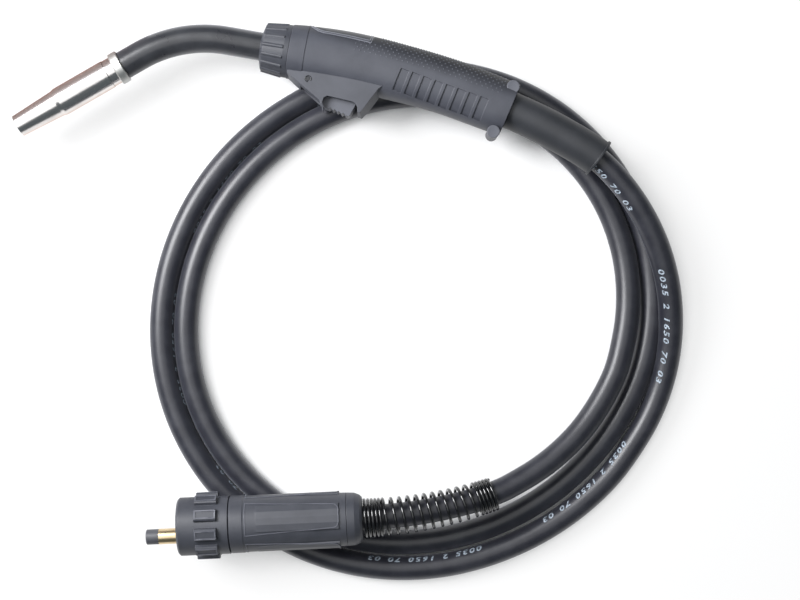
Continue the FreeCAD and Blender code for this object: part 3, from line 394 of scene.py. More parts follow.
@dataclass(frozen=True)
class GlossCoat(Surface):
    """Black stoving lacquer on wire, or a glazed face.

    To the eye: deep colour under sharp highlights, with a slight orange-peel
    ripple.
    """

    ripple_mm: float = 2.5

    def build(self) -> bpy.types.Material:
        """Make the material.

        Returns:
            The material.
        """
        canvas = Canvas(self.name, {"IOR": 1.5, "Roughness": self.roughness, "Coat Weight": 0.6,
                                    "Coat Roughness": 0.06})
        place = canvas.add("TexCoord").outputs["Object"]
        ripples = {"Scale": 1 / (self.ripple_mm * MM), "Detail": 2.0}
        _, waves = self.patches(canvas, place, ripples, (0.3, 0.9))
        bumps = canvas.add("Bump", {"Strength": 0.25, "Distance": 0.03 * MM}, {"Height": waves})
        canvas.feed("Normal", bumps.outputs["Normal"])
        return canvas.material


@dataclass(frozen=True)
class MarkingInk(Surface):
    """Pale ink jetted on the sheath.

    To the eye: thin blue-grey marks, patchy where the rubber shows through.
    """

    patch_mm: float = 1.5

    def build(self) -> bpy.types.Material:
        """Make the material.

        Returns:
            The material.
        """
        canvas = Canvas(self.name, {"IOR": 1.45, "Roughness": self.roughness})
        place = canvas.add("TexCoord").outputs["Object"]
        self.patches(canvas, place, {"Scale": 1 / (self.patch_mm * MM), "Detail": 4.0}, (0.35, 0.6))
        return canvas.material


class Finish(Enum):
    """Finish of each kind of piece."""

    CHROME = TurnedMetal("chrome_plated_copper", "#e9e6e4", "#d6d2d0", 0.22, HEAD.turn, "#f4d9cc")
    FERRULE = TurnedMetal("bead_blasted_nickel", "#d3d3d0", "#b4b4b2", 0.46, HEAD.turn)
    COPPER = TurnedMetal("drawn_copper", "#c98a66", "#a8684a", 0.25, HEAD.turn)
    HEAD_BRASS = TurnedMetal("turned_brass_of_the_head", "#d8bf8a", "#b59a62", 0.28, HEAD.turn)
    NECK_BRASS = TurnedMetal("turned_brass_of_the_neck", "#d8bf8a", "#b59a62", 0.28, NECK_TURN)
    PIN_BRASS = TurnedMetal("turned_brass_of_the_pin", "#ead6b2", "#cfb68c", 0.26, PLUG.turn)
    STEEL = TurnedMetal("zinc_plated_steel", "#b8babd", "#8f9194", 0.3, 0.0)
    CERAMIC = GlossCoat("glazed_ceramic", "#e4e0d6", "#efece4", 0.2)
    NECK = CableRubber("silicone_neck_sleeve", "#26272b", "#36383c", 0.28, sheen=0.35)
    # The handle's nylon paints shade over its back
    HANDLE = GrippedPlastic("glass_filled_nylon_handle", "#3d3f47", "#4b4d55", 0.5)
    NUT = MouldedPlastic("glass_filled_nylon_nut", "#32343b", "#42444b", 0.5)
    INLAY = MouldedPlastic("polished_nylon_inlay", "#25272c", "#33353b", 0.3, grain_height_mm=0.005)
    BEAD = MouldedPlastic("rubbed_nylon_beads", "#4e5058", "#5e6069", 0.45, edge_mm=0.2)
    # Pale tone of the inlay's border beads: painted highlight along their edges
    SHINY_BEAD = MouldedPlastic("polished_nylon_beads_painted_highlight", "#666870", "#7a7c84", 0.28, edge_mm=0.2)
    DOTS = MouldedPlastic("rubbed_nylon_dots", "#4a4c54", "#565860", 0.46, edge_mm=0.2)
    GUARD = MouldedPlastic("grey_nylon_guard", "#3e4047", "#4c4e56", 0.52)
    # The lever is the guard's nylon, toned paler as painted light where the guard's shadow falls on it
    LEVER = MouldedPlastic("grey_nylon_lever_painted_light", "#4a4c54", "#585a62", 0.5)
    CAPS = MouldedPlastic("pale_nylon_plugs", "#50525a", "#5d5f67", 0.5, edge_mm=0.3)
    PIN_CAP = MouldedPlastic("grey_acetal_cap", "#424348", "#515257", 0.42, edge_mm=0.3)
    BLACK = MouldedPlastic("black_acetal", "#1b1c1f", "#2b2d31", 0.42)
    BOOT = MouldedPlastic("soft_vulcanised_boot", "#25272b", "#33353a", 0.5, grain_mm=1.4)
    CABLE = CableRubber("extruded_cable_sheath", "#1f2028", "#34353c", 0.38, sheen=0.34)
    INK = MarkingInk("pale_marking_ink", "#6d7882", "#a9b4c0", 0.6)
    SPRING = GlossCoat("lacquered_spring_wire", "#08080a", "#1b1c1e", 0.14)
    PLUG = MouldedPlastic("glass_filled_nylon_plug", "#34363d", "#43454c", 0.46)


@cache
def finish_of(finish: Finish) -> bpy.types.Material:
    """Give the material of a finish, made the first time it is asked for."""
    return finish.value.build()


# Modelling helpers

def deselect_all() -> None:
    """Deselect every object, so that an operator acts only on what is chosen next."""
    for item in bpy.context.view_layer.objects:
        item.select_set(False)


def choose(piece: Piece) -> None:
    """Select one piece alone and make it the active one.

    Args:
        piece: The piece.
    """
    deselect_all()
    piece.select_set(True)
    bpy.context.view_layer.objects.active = piece


def started(add: Callable[..., Any], **settings: Any) -> Piece:
    """Add a primitive by its operator, with nothing else selected.

    Args:
        add: The operator that adds it.
        settings: The operator's settings, such as its size and place.

    Returns:
        The new piece.
    """
    deselect_all()
    add(**settings)
    return bpy.context.view_layer.objects.active


def edit(piece: Piece) -> None:
    """Open one piece for editing, with nothing in it selected.

    Args:
        piece: The piece.
    """
    choose(piece)
    bpy.ops.object.mode_set(mode="EDIT")
    bpy.ops.mesh.select_all(action="DESELECT")


def pick(piece: Piece, kind: str, test: Callable[[Any], bool]) -> None:
    """Select what passes a test in the piece that is open for editing.

    Args:
        piece: The piece.
        kind: Which elements are tested: verts or faces.
        test: Says whether an element is wanted.
    """
    bpy.ops.mesh.select_mode(type={"verts": "VERT", "faces": "FACE"}[kind])
    bpy.ops.mesh.select_all(action="DESELECT")
    mesh = bmesh.from_edit_mesh(piece.data)
    for element in getattr(mesh, kind):
        if test(element):
            element.select_set(True)
    bmesh.update_edit_mesh(piece.data)


def as_mesh(piece: Piece) -> Piece:
    """Turn a curve or text object into a mesh object of the same name.

    Args:
        piece: The curve or text object.

    Returns:
        The mesh object that takes its place.
    """
    choose(piece)
    bpy.ops.object.convert(target="MESH")
    return bpy.context.view_layer.objects.active


def placed(piece: Piece, matrix: Matrix) -> Piece:
    """Move a piece's mesh by a matrix and leave its object at the origin.

    Args:
        piece: The piece.
        matrix: From the piece's own frame to the part's.

    Returns:
        The same piece.
    """
    piece.data.transform(matrix @ piece.matrix_world)
    piece.matrix_world = Matrix.Identity(4)
    piece.data.update()
    return piece


def copy_at(piece: Piece, matrix: Matrix) -> Piece:
    """Copy a piece, with a mesh of its own, and move the copy.

    Args:
        piece: The piece to copy.
        matrix: How the copy's mesh is moved.

    Returns:
        The copy.
    """
    copy = piece.copy()
    copy.data = piece.data.copy()
    copy.data.transform(matrix)
    bpy.context.scene.collection.objects.link(copy)
    return copy


def joined(pieces: Sequence[Piece]) -> Piece:
    """Join pieces into the first one.

    Args:
        pieces: The pieces.

    Returns:
        The joined piece.
    """
    choose(pieces[0])
    for piece in pieces:
        piece.select_set(True)
    bpy.ops.object.join()
    return pieces[0]


def round_line(points: Iterable[Vector], name: str, diameter: float = 0.0, roundness: int = 0,
               steps: int = 10) -> Piece:
    """Draw one open smooth spline through the pull of its points, as a rod or a bare line.

    Args:
        points: The control points.
        name: The piece's name.
        diameter: The rod's diameter in millimetres, or 0 for a bare line.
        roundness: How finely the rod is rounded.
        steps: Stretches from one control point to the next.

    Returns:
        The curve object.
    """
    curve = bpy.data.curves.new(name, "CURVE")
    curve.dimensions = "3D"
    curve.bevel_depth = diameter / 2 * MM
    curve.bevel_resolution = roundness
    curve.use_fill_caps = diameter > 0
    spline = curve.splines.new("NURBS")
    places = list(points)
    spline.points.add(len(places) - 1)
    for point, place in zip(spline.points, places):
        point.co = (*place, 1.0)
    spline.order_u = 3
    spline.use_endpoint_u = True
    spline.resolution_u = steps
    piece = bpy.data.objects.new(name, curve)
    bpy.context.scene.collection.objects.link(piece)
    return piece


def skin_of(*nodes: str) -> BVHTree:
    """Give the joined surface of carried-over solids, for pieces that are laid on it.

    Args:
        nodes: The solids' names.

    Returns:
        The surface as a tree that rays can be cast at.
    """
    corners, faces = [], []
    for node in nodes:
        mesh = frame["nodes"][node].data
        faces += [[len(corners) + index for index in face.vertices] for face in mesh.polygons]
        corners += [corner.co.copy() for corner in mesh.vertices]
    return BVHTree.FromPolygons(corners, faces)


def smoothed(piece: Piece) -> Piece:
    """Shade a modelled piece's round faces smooth and keep its edges sharp.

    Args:
        piece: The piece.

    Returns:
        The same piece.
    """
    choose(piece)
    bpy.ops.object.shade_smooth_by_angle(angle=SMOOTH_BELOW)
    return piece


def settled(piece: Piece, name: str, finish: Finish, body: str = "torch") -> Piece:
    """Name and dress a piece, and let it ride on its body.

    Args:
        piece: The piece.
        name: Its name.
        finish: Its finish.
        body: The body that it moves with.

    Returns:
        The same piece.
    """
    piece.name = name
    piece.data.materials.clear()
    piece.data.materials.append(finish_of(finish))
    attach(piece, body)
    log.info("%s: %s", name, finish.value.name)
    return piece


# The handle's small details

@dataclass
class HandleLine:
    """The handle's middle line on the bench, as x, y and heading, and its rounded section."""

    stations: Points = (
        (-64.4, 197.3, -10.5), (-31.9, 191.0, -13.0), (0.6, 183.0, -16.5), (30.4, 174.7, -19.5),
        (60.8, 164.1, -20.5), EXIT)
    half_depth: float = 23.0
    half_thickness: float = 19.0
    squareness: float = 2.3

    def middle(self, across: float) -> Ray:
        """Give the middle line's point above a bench x, with the direction of the handle's back.

        Args:
            across: Bench x in millimetres.

        Returns:
            The point in the part's own frame and the unit vector to the back.
        """
        pairs = list(zip(self.stations, self.stations[1:]))
        before, after = next((pair for pair in pairs if across <= pair[1][0]), pairs[-1])
        share = (across - before[0]) / (after[0] - before[0])
        y, turn = (low + share * (high - low) for low, high in zip(before[1:], after[1:]))
        return bench(across, y, MIDDLE_HEIGHT), heading(turn + 90)

    def ring(self, pitch: float, reach: float) -> list[tuple[float, float]]:
        """Give section points at an even pitch along the skin, out from the middle of the back.

        Args:
            pitch: Distance between points.
            reach: Farthest distance from the back's middle, to each side.

        Returns:
            Pairs of the share towards the back and the share upwards, in millimetres.
        """
        points = [(self.half_depth, 0.0)]
        walked, wanted, last = 0.0, pitch, points[0]
        for tenths in range(1, 900):
            angle = math.radians(tenths / 10)
            here = (self.half_depth * math.cos(angle) ** (2 / self.squareness),
                    self.half_thickness * math.sin(angle) ** (2 / self.squareness))
            walked += math.dist(here, last)
            last = here
            if wanted <= walked <= reach:
                points.append(here)
                wanted += pitch
        return points + [(back, -up) for back, up in points[1:]]


@dataclass
class GripDots:
    """Low dots that roughen the handle's back behind the inlay."""

    pitch: float = 4.2
    row_pitch: float = 2.6
    reach: float = 27.5
    radius: float = 0.62
    height: float = 0.42
    first: float = -38.0
    last: float = 79.0
    inlay_end: float = -20.5
    inlay_half: float = 14.2

    def dot(self) -> Piece:
        """Model one dot at the origin, its wide side down.

        Returns:
            The dot.
        """
        piece = started(bpy.ops.mesh.primitive_cylinder_add, vertices=8, radius=self.radius * MM,
                        depth=self.height * MM, end_fill_type="NGON")
        edit(piece)
        pick(piece, "faces", lambda face: face.normal.z > 0.9)
        bpy.ops.mesh.inset(thickness=self.radius * 0.4 * MM)
        bpy.ops.transform.translate(value=(0, 0, self.height * 0.3 * MM))
        bpy.ops.object.mode_set(mode="OBJECT")
        return piece

    def seat(self, skin: BVHTree, place: Ray, back: float, up: float) -> Matrix | None:
        """Find where a dot sits on the skin.

        Args:
            skin: The surface of both shells.
            place: A point of the handle's middle line and the direction of its back.
            back: Share of the dot's direction towards the back.
            up: Share of it upwards.

        Returns:
            The dot's matrix, or None where the skin faces another way.
        """
        middle, side = place
        way = (side * back + Vector((0, 0, up))).normalized()
        spot, normal, _, _ = skin.ray_cast(middle + way * RAY_START * MM, -way)
        if spot is None or normal.dot(way) < 0.5:
            return None
        return Matrix.Translation(spot) @ normal.to_track_quat("Z", "Y").to_matrix().to_4x4()

    def build(self, line: HandleLine) -> Piece:
        """Set the dots on the skin of both shells, in rows that stand between each other's dots.

        Args:
            line: The handle's middle line.

        Returns:
            The dots as one piece.
        """
        skin = skin_of("handle_shell_top", "handle_shell_bottom")
        model = self.dot()
        seats = []
        for row, (back, up) in enumerate(line.ring(self.row_pitch, self.reach)):
            across = self.first + (self.pitch / 2 if row % 2 else 0.0)
            while across < self.last:
                if across >= self.inlay_end or abs(up) >= self.inlay_half:
                    seats.append(self.seat(skin, line.middle(across), back, up))
                across += self.pitch
        dots = [copy_at(model, seat) for seat in seats if seat]
        bpy.data.objects.remove(model)
        return settled(smoothed(joined(dots)), "grip_dots", Finish.DOTS)


@dataclass(frozen=True)
class Bead:
    """Raised line round a panel on a rounded face, in millimetres."""

    length: float
    front: float
    rear: float
    front_corner: float
    rear_corner: float
    width: float
    height: float = 0.45
    cuts: int = 7

    def build(self, skin: BVHTree, onto: Callable[[Vector], Ray]) -> Piece:
        """Model the line flat, a metre to the millimetre, then lay it on its face.

        Args:
            skin: The surface that it lies on.
            onto: Gives the start and the way of the ray that lays a flat point on the surface.

        Returns:
            The bead, not yet dressed.
        """
        piece = started(bpy.ops.mesh.primitive_plane_add, size=1)
        edit(piece)
        bpy.ops.mesh.select_all(action="SELECT")
        bpy.ops.transform.resize(value=(self.length, self.rear, 1))
        pick(piece, "verts", lambda corner: corner.co.x < 0)
        bpy.ops.transform.resize(value=(1, self.front / self.rear, 1))
        bpy.ops.mesh.bevel(offset=self.front_corner, segments=5, affect="VERTICES")
        pick(piece, "verts", lambda corner: corner.co.x > self.length / 2 - 0.01)
        bpy.ops.mesh.bevel(offset=self.rear_corner, segments=5, affect="VERTICES")
        pick(piece, "faces", lambda face: True)
        bpy.ops.mesh.inset(thickness=self.width)
        bpy.ops.mesh.delete(type="FACE")
        bpy.ops.mesh.select_all(action="SELECT")
        bpy.ops.mesh.subdivide(number_cuts=self.cuts)
        bpy.ops.object.mode_set(mode="OBJECT")
        for corner in piece.data.vertices:
            corner.co = skin.ray_cast(*onto(corner.co.copy()))[0]
        choose(piece)
        modifier = piece.modifiers.new("solidify", "SOLIDIFY")
        modifier.thickness = self.height * MM
        modifier.offset = 1.0
        bpy.ops.object.modifier_apply(modifier=modifier.name)
        return piece


@dataclass
class HandleBeads:
    """Double raised border of the polished inlay, toned pale as a painted highlight."""

    turn: float = -11.7
    length: float = 51.7
    half_width: float = 15.3
    point: float = 12.0
    rear_corner: float = 1.0
    width: float = 0.6
    step: float = 1.3
    shift: float = -3.0

    def onto(self, middle: Vector, flat: Vector) -> Ray:
        """Give the level ray from behind the handle's back at a flat point.

        Args:
            middle: The handle's middle under the inlay.
            flat: The flat point, its x along the handle and its y downwards.

        Returns:
            The ray's start and way.
        """
        side = heading(self.turn + 90)
        along = heading(self.turn) * (flat.x + self.shift) * MM
        return middle + side * RAY_START * MM + along - Vector((0, 0, flat.y * MM)), -side

    def build(self, line: HandleLine) -> Piece:
        """Lay two beads round the inlay.

        Args:
            line: The handle's middle line.

        Returns:
            The beads as one piece.
        """
        front, rear = (bench(x, y, MIDDLE_HEIGHT) for x, y, _ in line.stations[:2])
        skin = skin_of("handle_inlay", "handle_shell_top", "handle_shell_bottom")
        beads = []
        for inset in (0.0, self.step):
            across = 2 * (self.half_width - inset)
            bead = Bead(length=self.length - 2 * inset, front=across, rear=across, width=self.width,
                        front_corner=self.point - 0.4 * inset, rear_corner=self.rear_corner)
            beads.append(bead.build(skin, partial(self.onto, (front + rear) / 2)))
        return settled(smoothed(joined(beads)), "inlay_beads", Finish.SHINY_BEAD)


@dataclass
class BossCaps:
    """Round plugs over the handle's two screws."""

    places: tuple[tuple[float, float], ...] = ((90.5, 170.5), (74.6, 134.6))
    radius: float = 5.1
    base: float = MIDDLE_HEIGHT + 14.9
    height: float = 0.9
    edge: float = 0.35
    rim: float = 0.7
    dish: float = 0.12

    def build(self) -> Piece:
        """Model one plug with a rounded edge and a dished face, and copy it to both bosses.

        Returns:
            The plugs as one piece.
        """
        model = started(bpy.ops.mesh.primitive_cylinder_add, vertices=48, radius=self.radius * MM,
                        depth=self.height * MM)
        edit(model)
        pick(model, "faces", lambda face: face.normal.z > 0.9)
        bpy.ops.mesh.bevel(offset=self.edge * MM, segments=3)
        pick(model, "faces", lambda face: face.normal.z > 0.99 and len(face.verts) > 4)
        bpy.ops.mesh.inset(thickness=self.rim * MM)
        bpy.ops.transform.translate(value=(0, 0, -self.dish * MM))
        bpy.ops.object.mode_set(mode="OBJECT")
        middle = self.base + self.height / 2
        caps = [copy_at(model, Matrix.Translation(bench(x, y, middle))) for x, y in self.places]
        bpy.data.objects.remove(model)
        piece = settled(smoothed(joined(caps)), "boss_caps", Finish.CAPS)
        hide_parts("screw_caps")
        return piece


@dataclass
class PivotRing:
    """Open ring moulded round the trigger's pin on the guard's side."""

    place: tuple[float, float, float] = (-73.4, 176.7, MIDDLE_HEIGHT + 15.6)
    radius: float = 2.4
    thick: float = 0.45
    sweep: float = 295.0
    turn: float = -102.0

    def build(self) -> Piece:
        """Spin the ring from a small round.

        Returns:
            The ring.
        """
        piece = started(bpy.ops.mesh.primitive_circle_add, vertices=10, radius=self.thick * MM,
                        fill_type="NGON", location=(self.radius * MM, 0, 0),
                        rotation=(math.radians(90), 0, 0))
        placed(piece, Matrix.Identity(4))
        edit(piece)
        bpy.ops.mesh.select_all(action="SELECT")
        bpy.ops.mesh.spin(steps=28, angle=math.radians(self.sweep), center=(0, 0, 0), axis=(0, 0, 1))
        bpy.ops.mesh.select_all(action="SELECT")
        bpy.ops.mesh.remove_doubles(threshold=0.01 * MM)
        bpy.ops.mesh.normals_make_consistent(inside=False)
        bpy.ops.object.mode_set(mode="OBJECT")
        turned = Matrix.Rotation(math.radians(self.turn), 4, "Z")
        placed(piece, Matrix.Translation(bench(*self.place)) @ turned)
        return settled(smoothed(piece), "pivot_ring", Finish.BLACK)


# The plug's raised lines

@dataclass
class PlugBeads:
    """Raised borders of the plug housing's panels."""

    start: float = 54.5
    radius: float = 22.0
    turn: float = 17.0
    count: int = 4
    bead: Bead = Bead(length=75.0, front=27.5, rear=19.0, front_corner=0.6, rear_corner=4.5, width=0.7,
                      height=0.4)

    def onto(self, turn: float, flat: Vector) -> Ray:
        """Give the ray square to the plug's middle line at a flat point.

        Args:
            turn: Angle of the panel's middle from the plug's top, in degrees.
            flat: The flat point, its x along the plug and its y round it.

        Returns:
            The ray's start and way.
        """
        angle = math.radians(turn) + flat.y / self.radius
        along = self.start + self.bead.length / 2 + flat.x
        outside = PLUG.at(along, RAY_START * math.sin(angle), RAY_START * math.cos(angle))
        return outside, (PLUG.at(along) - outside).normalized()

    def build(self) -> Piece:
        """Lay one border on each panel.

        Returns:
            The borders as one piece.
        """
        skin = skin_of("plug_housing")
        turns = [self.turn + 360 * index / self.count for index in range(self.count)]
        beads = [self.bead.build(skin, partial(self.onto, turn)) for turn in turns]
        return settled(smoothed(joined(beads)), "plug_beads", Finish.BEAD)


@dataclass
class NutFrames:
    """Raised frames on the lock nut's grip pads."""

    middle: float = 23.65
    turn: float = 9.0
    count: int = 10
    bead: Bead = Bead(length=17.1, front=7.5, rear=7.5, front_corner=0.4, rear_corner=0.4, width=1.2,
                      height=0.5, cuts=2)

    def onto(self, turn: float, flat: Vector) -> Ray:
        """Give the ray square down to a pad at a flat point.

        Args:
            turn: Angle of the pad's middle from the plug's top, in degrees.
            flat: The flat point, its x along the plug and its y across the pad.

        Returns:
            The ray's start and way.
        """
        sine, cosine = math.sin(math.radians(turn)), math.cos(math.radians(turn))
        along = self.middle + flat.x
        start = PLUG.at(along)
        out = PLUG.at(along, -RAY_START * sine, RAY_START * cosine) - start
        aside = PLUG.at(along, cosine, sine) - start
        return start + out + aside * flat.y, -out.normalized()

    def build(self) -> Piece:
        """Lay one frame on each pad.

        Returns:
            The frames as one piece.
        """
        skin = skin_of("lock_nut")
        turns = [self.turn + 360 * index / self.count for index in range(self.count)]
        frames = [self.bead.build(skin, partial(self.onto, turn)) for turn in turns]
        return settled(smoothed(joined(frames)), "nut_frames", Finish.BEAD, "lock")


# The cable, its print and its spring

@dataclass
class BendSpring:
    """Wire spring that guards the cable's bend behind the plug."""

    start: float = 149.5
    length: float = 107.0
    bend: float = 17.4
    side: Vector = field(default_factory=lambda: Vector((0.0, 0.885, -0.466)).normalized())
    wire: float = 2.6
    front: float = 33.0
    rear: float = 28.0
    closed_pitch: float = 3.0
    closed_turns: int = 5
    open_turns: int = 11
    steps: int = 20
    cable_end: float = 122.0
    cable_lead: float = 4.0

    def arc(self) -> float:
        """Give the angle that the spring bends through."""
        return math.radians(self.bend)

    def axis(self, share: float) -> Ray:
        """Give a point of the spring's middle line, with its outward side.

        Args:
            share: How far along the spring, from 0 to 1.

        Returns:
            The point and the side, in the plug's frame.
        """
        radius = self.length / self.arc()
        angle = self.arc() * share
        straight = Vector((self.start + radius * math.sin(angle), 0, 0))
        point = straight + self.side * radius * (1 - math.cos(angle))
        return point, self.side * math.cos(angle) - Vector((math.sin(angle), 0, 0))

    def cable_points(self) -> list[Vector]:
        """Give the cable's control points through the spring.

        Returns:
            The points in the part's own frame, from the coil to the plug.
        """
        tangent = self.length / self.arc() * math.tan(self.arc() / 4)
        last, _ = self.axis(1.0)
        way = Vector((math.cos(self.arc()), 0, 0)) + self.side * math.sin(self.arc())
        places = [last + way * self.cable_lead, last - way * tangent, Vector((self.start + tangent, 0, 0)),
                  Vector((self.cable_end, 0, 0))]
        return [PLUG.matrix() @ place for place in places]

    def along(self, turn: float) -> float:
        """Give the length along the spring at a turn.

        Args:
            turn: Turns from the spring's front end.

        Returns:
            The length in millimetres.
        """
        open_pitch = (self.length - 2 * self.closed_turns * self.closed_pitch) / self.open_turns
        opened = min(max(turn - self.closed_turns, 0.0), self.open_turns)
        return (turn - opened) * self.closed_pitch + opened * open_pitch

    def point(self, turn: float) -> Vector:
        """Give the wire's middle at a turn.

        Args:
            turn: Turns from the spring's front end.

        Returns:
            The point in the part's own frame.
        """
        share = self.along(turn) / self.length
        point, side = self.axis(share)
        radius = (self.front + share * (self.rear - self.front) - self.wire) / 2
        across = Vector((1, 0, 0)).cross(self.side)
        angle = 2 * math.pi * turn
        return PLUG.matrix() @ (point + side * radius * math.cos(angle) + across * radius * math.sin(angle))

    def build(self) -> Piece:
        """Make the spring as a round wire.

        Returns:
            The spring's mesh object.
        """
        count = (2 * self.closed_turns + self.open_turns) * self.steps
        points = [self.point(index / self.steps) for index in range(count + 1)]
        piece = as_mesh(round_line(points, "spring_wire", self.wire, roundness=3, steps=2))
        for face in piece.data.polygons:
            face.use_smooth = True
        settled(piece, "spring_wire", Finish.SPRING)
        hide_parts("bend_spring")
        return piece


@dataclass
class Cable:
    """The sheathed cable from the handle, through its coil, to the plug."""

    diameter: float = 19.9
    length: float = 3.052
    inside: float = 20.0
    straight: float = 25.0
    lead: Points = (
        (156.0, 119.0, 38.4), (185.8, 88.3, 36.0), (207.3, 52.3, 31.0), (219.6, 14.5, 25.0),
        (223.2, -22.5, 18.6), (219.7, -57.0, 13.2), (209.7, -89.0, 10.4), (194.7, -116.8, 9.6))
    tail: Points = (
        (172.6, -69.2, 20.4), (161.4, -88.9, 21.6), (148.3, -107.0, 23.4), (132.0, -123.4, 25.8),
        (113.5, -137.6, 28.7), (92.5, -149.6, 32.0))
    centre: tuple[float, float] = (14.1, -20.7)
    floor_height: float = 9.4
    outer_radius: float = 216.0
    strand_pitch: float = 19.9
    shift: tuple[float, float] = (-4.1, -9.85)
    oval: tuple[float, float] = (0.8, -5.7)
    nudges: tuple[tuple[float, float], ...] = (
        (40.0, 2.7), (52.0, 2.2), (60.0, 1.4), (70.0, 0.7), (100.0, 0.0), (345.0, 0.0), (370.0, 1.0),
        (400.0, 0.0), (432.0, -1.2), (460.0, -1.2), (500.0, -0.6), (540.0, 0.0), (690.0, 0.0), (731.0, -1.2))
    first_angle: float = 40.0
    last_angle: float = 730.0
    steps: int = 46
    lift: float = 10.0
    lift_angle: float = 90.0

    def nudge(self, degrees: float) -> float:
        """Give how far a strand lies out from its even spiral, in millimetres.

        Args:
            degrees: Angle, clockwise seen from above.

        Returns:
            The distance, negative towards the coil's middle.
        """
        for (before, start), (after, end) in zip(self.nudges, self.nudges[1:]):
            if before <= degrees < after:
                return start + (end - start) * (degrees - before) / (after - before)
        raise ValueError("the coil has no strand at this angle")

    def coil_point(self, degrees: float, outward: float) -> Vector:
        """Give a control point of the coil's line.

        Args:
            degrees: Angle, clockwise seen from above.
            outward: Factor on the radius, because control points lie outside the line.

        Returns:
            The point in the part's own frame.
        """
        angle = math.radians(degrees)
        radius = (self.outer_radius - self.strand_pitch * degrees / 360
                  + self.shift[0] * math.cos(angle) + self.shift[1] * math.sin(angle)
                  + self.oval[0] * math.cos(2 * angle) + self.oval[1] * math.sin(2 * angle)
                  + self.nudge(degrees)) * outward
        climb = max(0.0, 1 - (self.last_angle - degrees) / self.lift_angle)
        return bench(self.centre[0] + radius * math.cos(angle), self.centre[1] - radius * math.sin(angle),
                     self.floor_height + self.lift * climb ** 3)

    def route(self) -> list[Vector]:
        """Give the cable's control points.

        Returns:
            The points in the part's own frame, from the handle to the plug.
        """
        step = (self.last_angle - self.first_angle) / self.steps
        spread = 1 / math.cos(math.radians(step / 2))
        way = heading(EXIT[2])
        points = [HANDLE_EXIT - way * self.inside * MM, HANDLE_EXIT + way * self.straight * MM]
        points += [bench(*place) for place in self.lead]
        points += [self.coil_point(self.first_angle + index * step, spread)
                   for index in range(self.steps + 1)]
        points += [bench(*place) for place in self.tail]
        return points + BendSpring().cable_points()

    def build(self) -> Piece:
        """Make the cable as a round curve.

        Returns:
            The cable's curve object.
        """
        piece = round_line(self.route(), "cable", self.diameter, roundness=10)
        settled(piece, "cable", Finish.CABLE)
        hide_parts("cable_lead", "cable_coil", "cable_tail")
        return piece

    def line(self) -> list[Vector]:
        """Give close points along the cable's middle, read from its own spline.

        Returns:
            The points in the part's own frame.
        """
        holder = round_line(self.route(), "cable_line")
        bpy.context.view_layer.update()
        mesh = bpy.data.meshes.new_from_object(holder)
        points = [corner.co.copy() for corner in mesh.vertices]
        bpy.data.objects.remove(holder)
        return points


@dataclass
class CablePrint:
    """Marks jetted along the sheath: plain numbers, again and again."""

    marks: str = "0035 2 1650 70 03"
    letter: float = 6.6
    spacing: float = 1.3
    gap: float = 1.5
    slant: float = 0.22
    swell: float = 0.16
    cuts: int = 2
    lift: float = 0.09
    radius: float = Cable.diameter / 2
    length: float = 98.0
    repeat: float = 155.5
    second: tuple[float, float, float] = (206.1, 26.0, 27.0)
    leans: tuple[float, ...] = (-52.0, -30.0, -50.0, -54.0, -76.0, -78.0, -80.0, -76.0)

    def flat_mark(self) -> Piece:
        """Write one mark at the origin and cut its faces small enough to bend.

        Returns:
            The mark as a flat mesh, in millimetres, read along +X.
        """
        words = started(bpy.ops.object.text_add)
        for key, value in {"body": self.marks, "size": self.letter, "space_character": self.spacing,
                           "space_word": self.gap, "shear": self.slant, "offset": self.swell,
                           "align_y": "CENTER", "resolution_u": 3}.items():
            setattr(words.data, key, value)
        piece = as_mesh(words)
        placed(piece, Matrix.Diagonal((self.length / piece.dimensions.x, 1.0, 1.0, 1.0)))
        edit(piece)
        bpy.ops.mesh.select_all(action="SELECT")
        bpy.ops.mesh.remove_doubles(threshold=0.01)
        bpy.ops.mesh.quads_convert_to_tris()
        bpy.ops.mesh.subdivide(number_cuts=self.cuts)
        bpy.ops.object.mode_set(mode="OBJECT")
        return piece

    def wrapped(self, line: Sequence[Vector], first: int, corner: Vector, lean: float) -> Vector:
        """Give where a point of the flat mark lies on the sheath.

        Args:
            line: Points along the cable's middle.
            first: The point where the mark starts.
            corner: The flat point, in millimetres.
            lean: Angle of the mark's middle from the top of the sheath, away from the coil's middle.

        Returns:
            The point in the part's own frame.
        """
        left, index = corner.x * MM, first
        while (line[index + 1] - line[index]).length < left:
            left -= (line[index + 1] - line[index]).length
            index += 1
        way = (line[index + 1] - line[index]).normalized()
        out = Vector((-way.y, way.x, 0)).normalized()
        angle = math.radians(lean) + corner.y / self.radius
        around = out * math.sin(angle) + out.cross(way) * -math.cos(angle)
        return line[index] + way * left + around * ((self.radius + self.lift) * MM)

    def build(self, cable: Cable) -> list[Piece]:
        """Bend a copy of the mark round the sheath at each place.

        Args:
            cable: The cable that is marked.

        Returns:
            The marks.
        """
        line = cable.line()
        walked = [0.0]
        for here, after in zip(line, line[1:]):
            walked.append(walked[-1] + (after - here).length)
        second = min(range(len(line)), key=lambda index: (line[index] - bench(*self.second)).length)
        model = self.flat_mark()
        pieces = []
        for number, lean in enumerate(self.leans, 1):
            wanted = walked[second] + (number - 2) * self.repeat * MM
            first = next(index for index, place in enumerate(walked) if place >= wanted)
            piece = copy_at(model, Matrix.Identity(4))
            for corner in piece.data.vertices:
                corner.co = self.wrapped(line, first, corner.co, lean)
            pieces.append(settled(smoothed(piece), f"cable_mark_{number}", Finish.INK))
        bpy.data.objects.remove(model)
        return pieces


# Studio

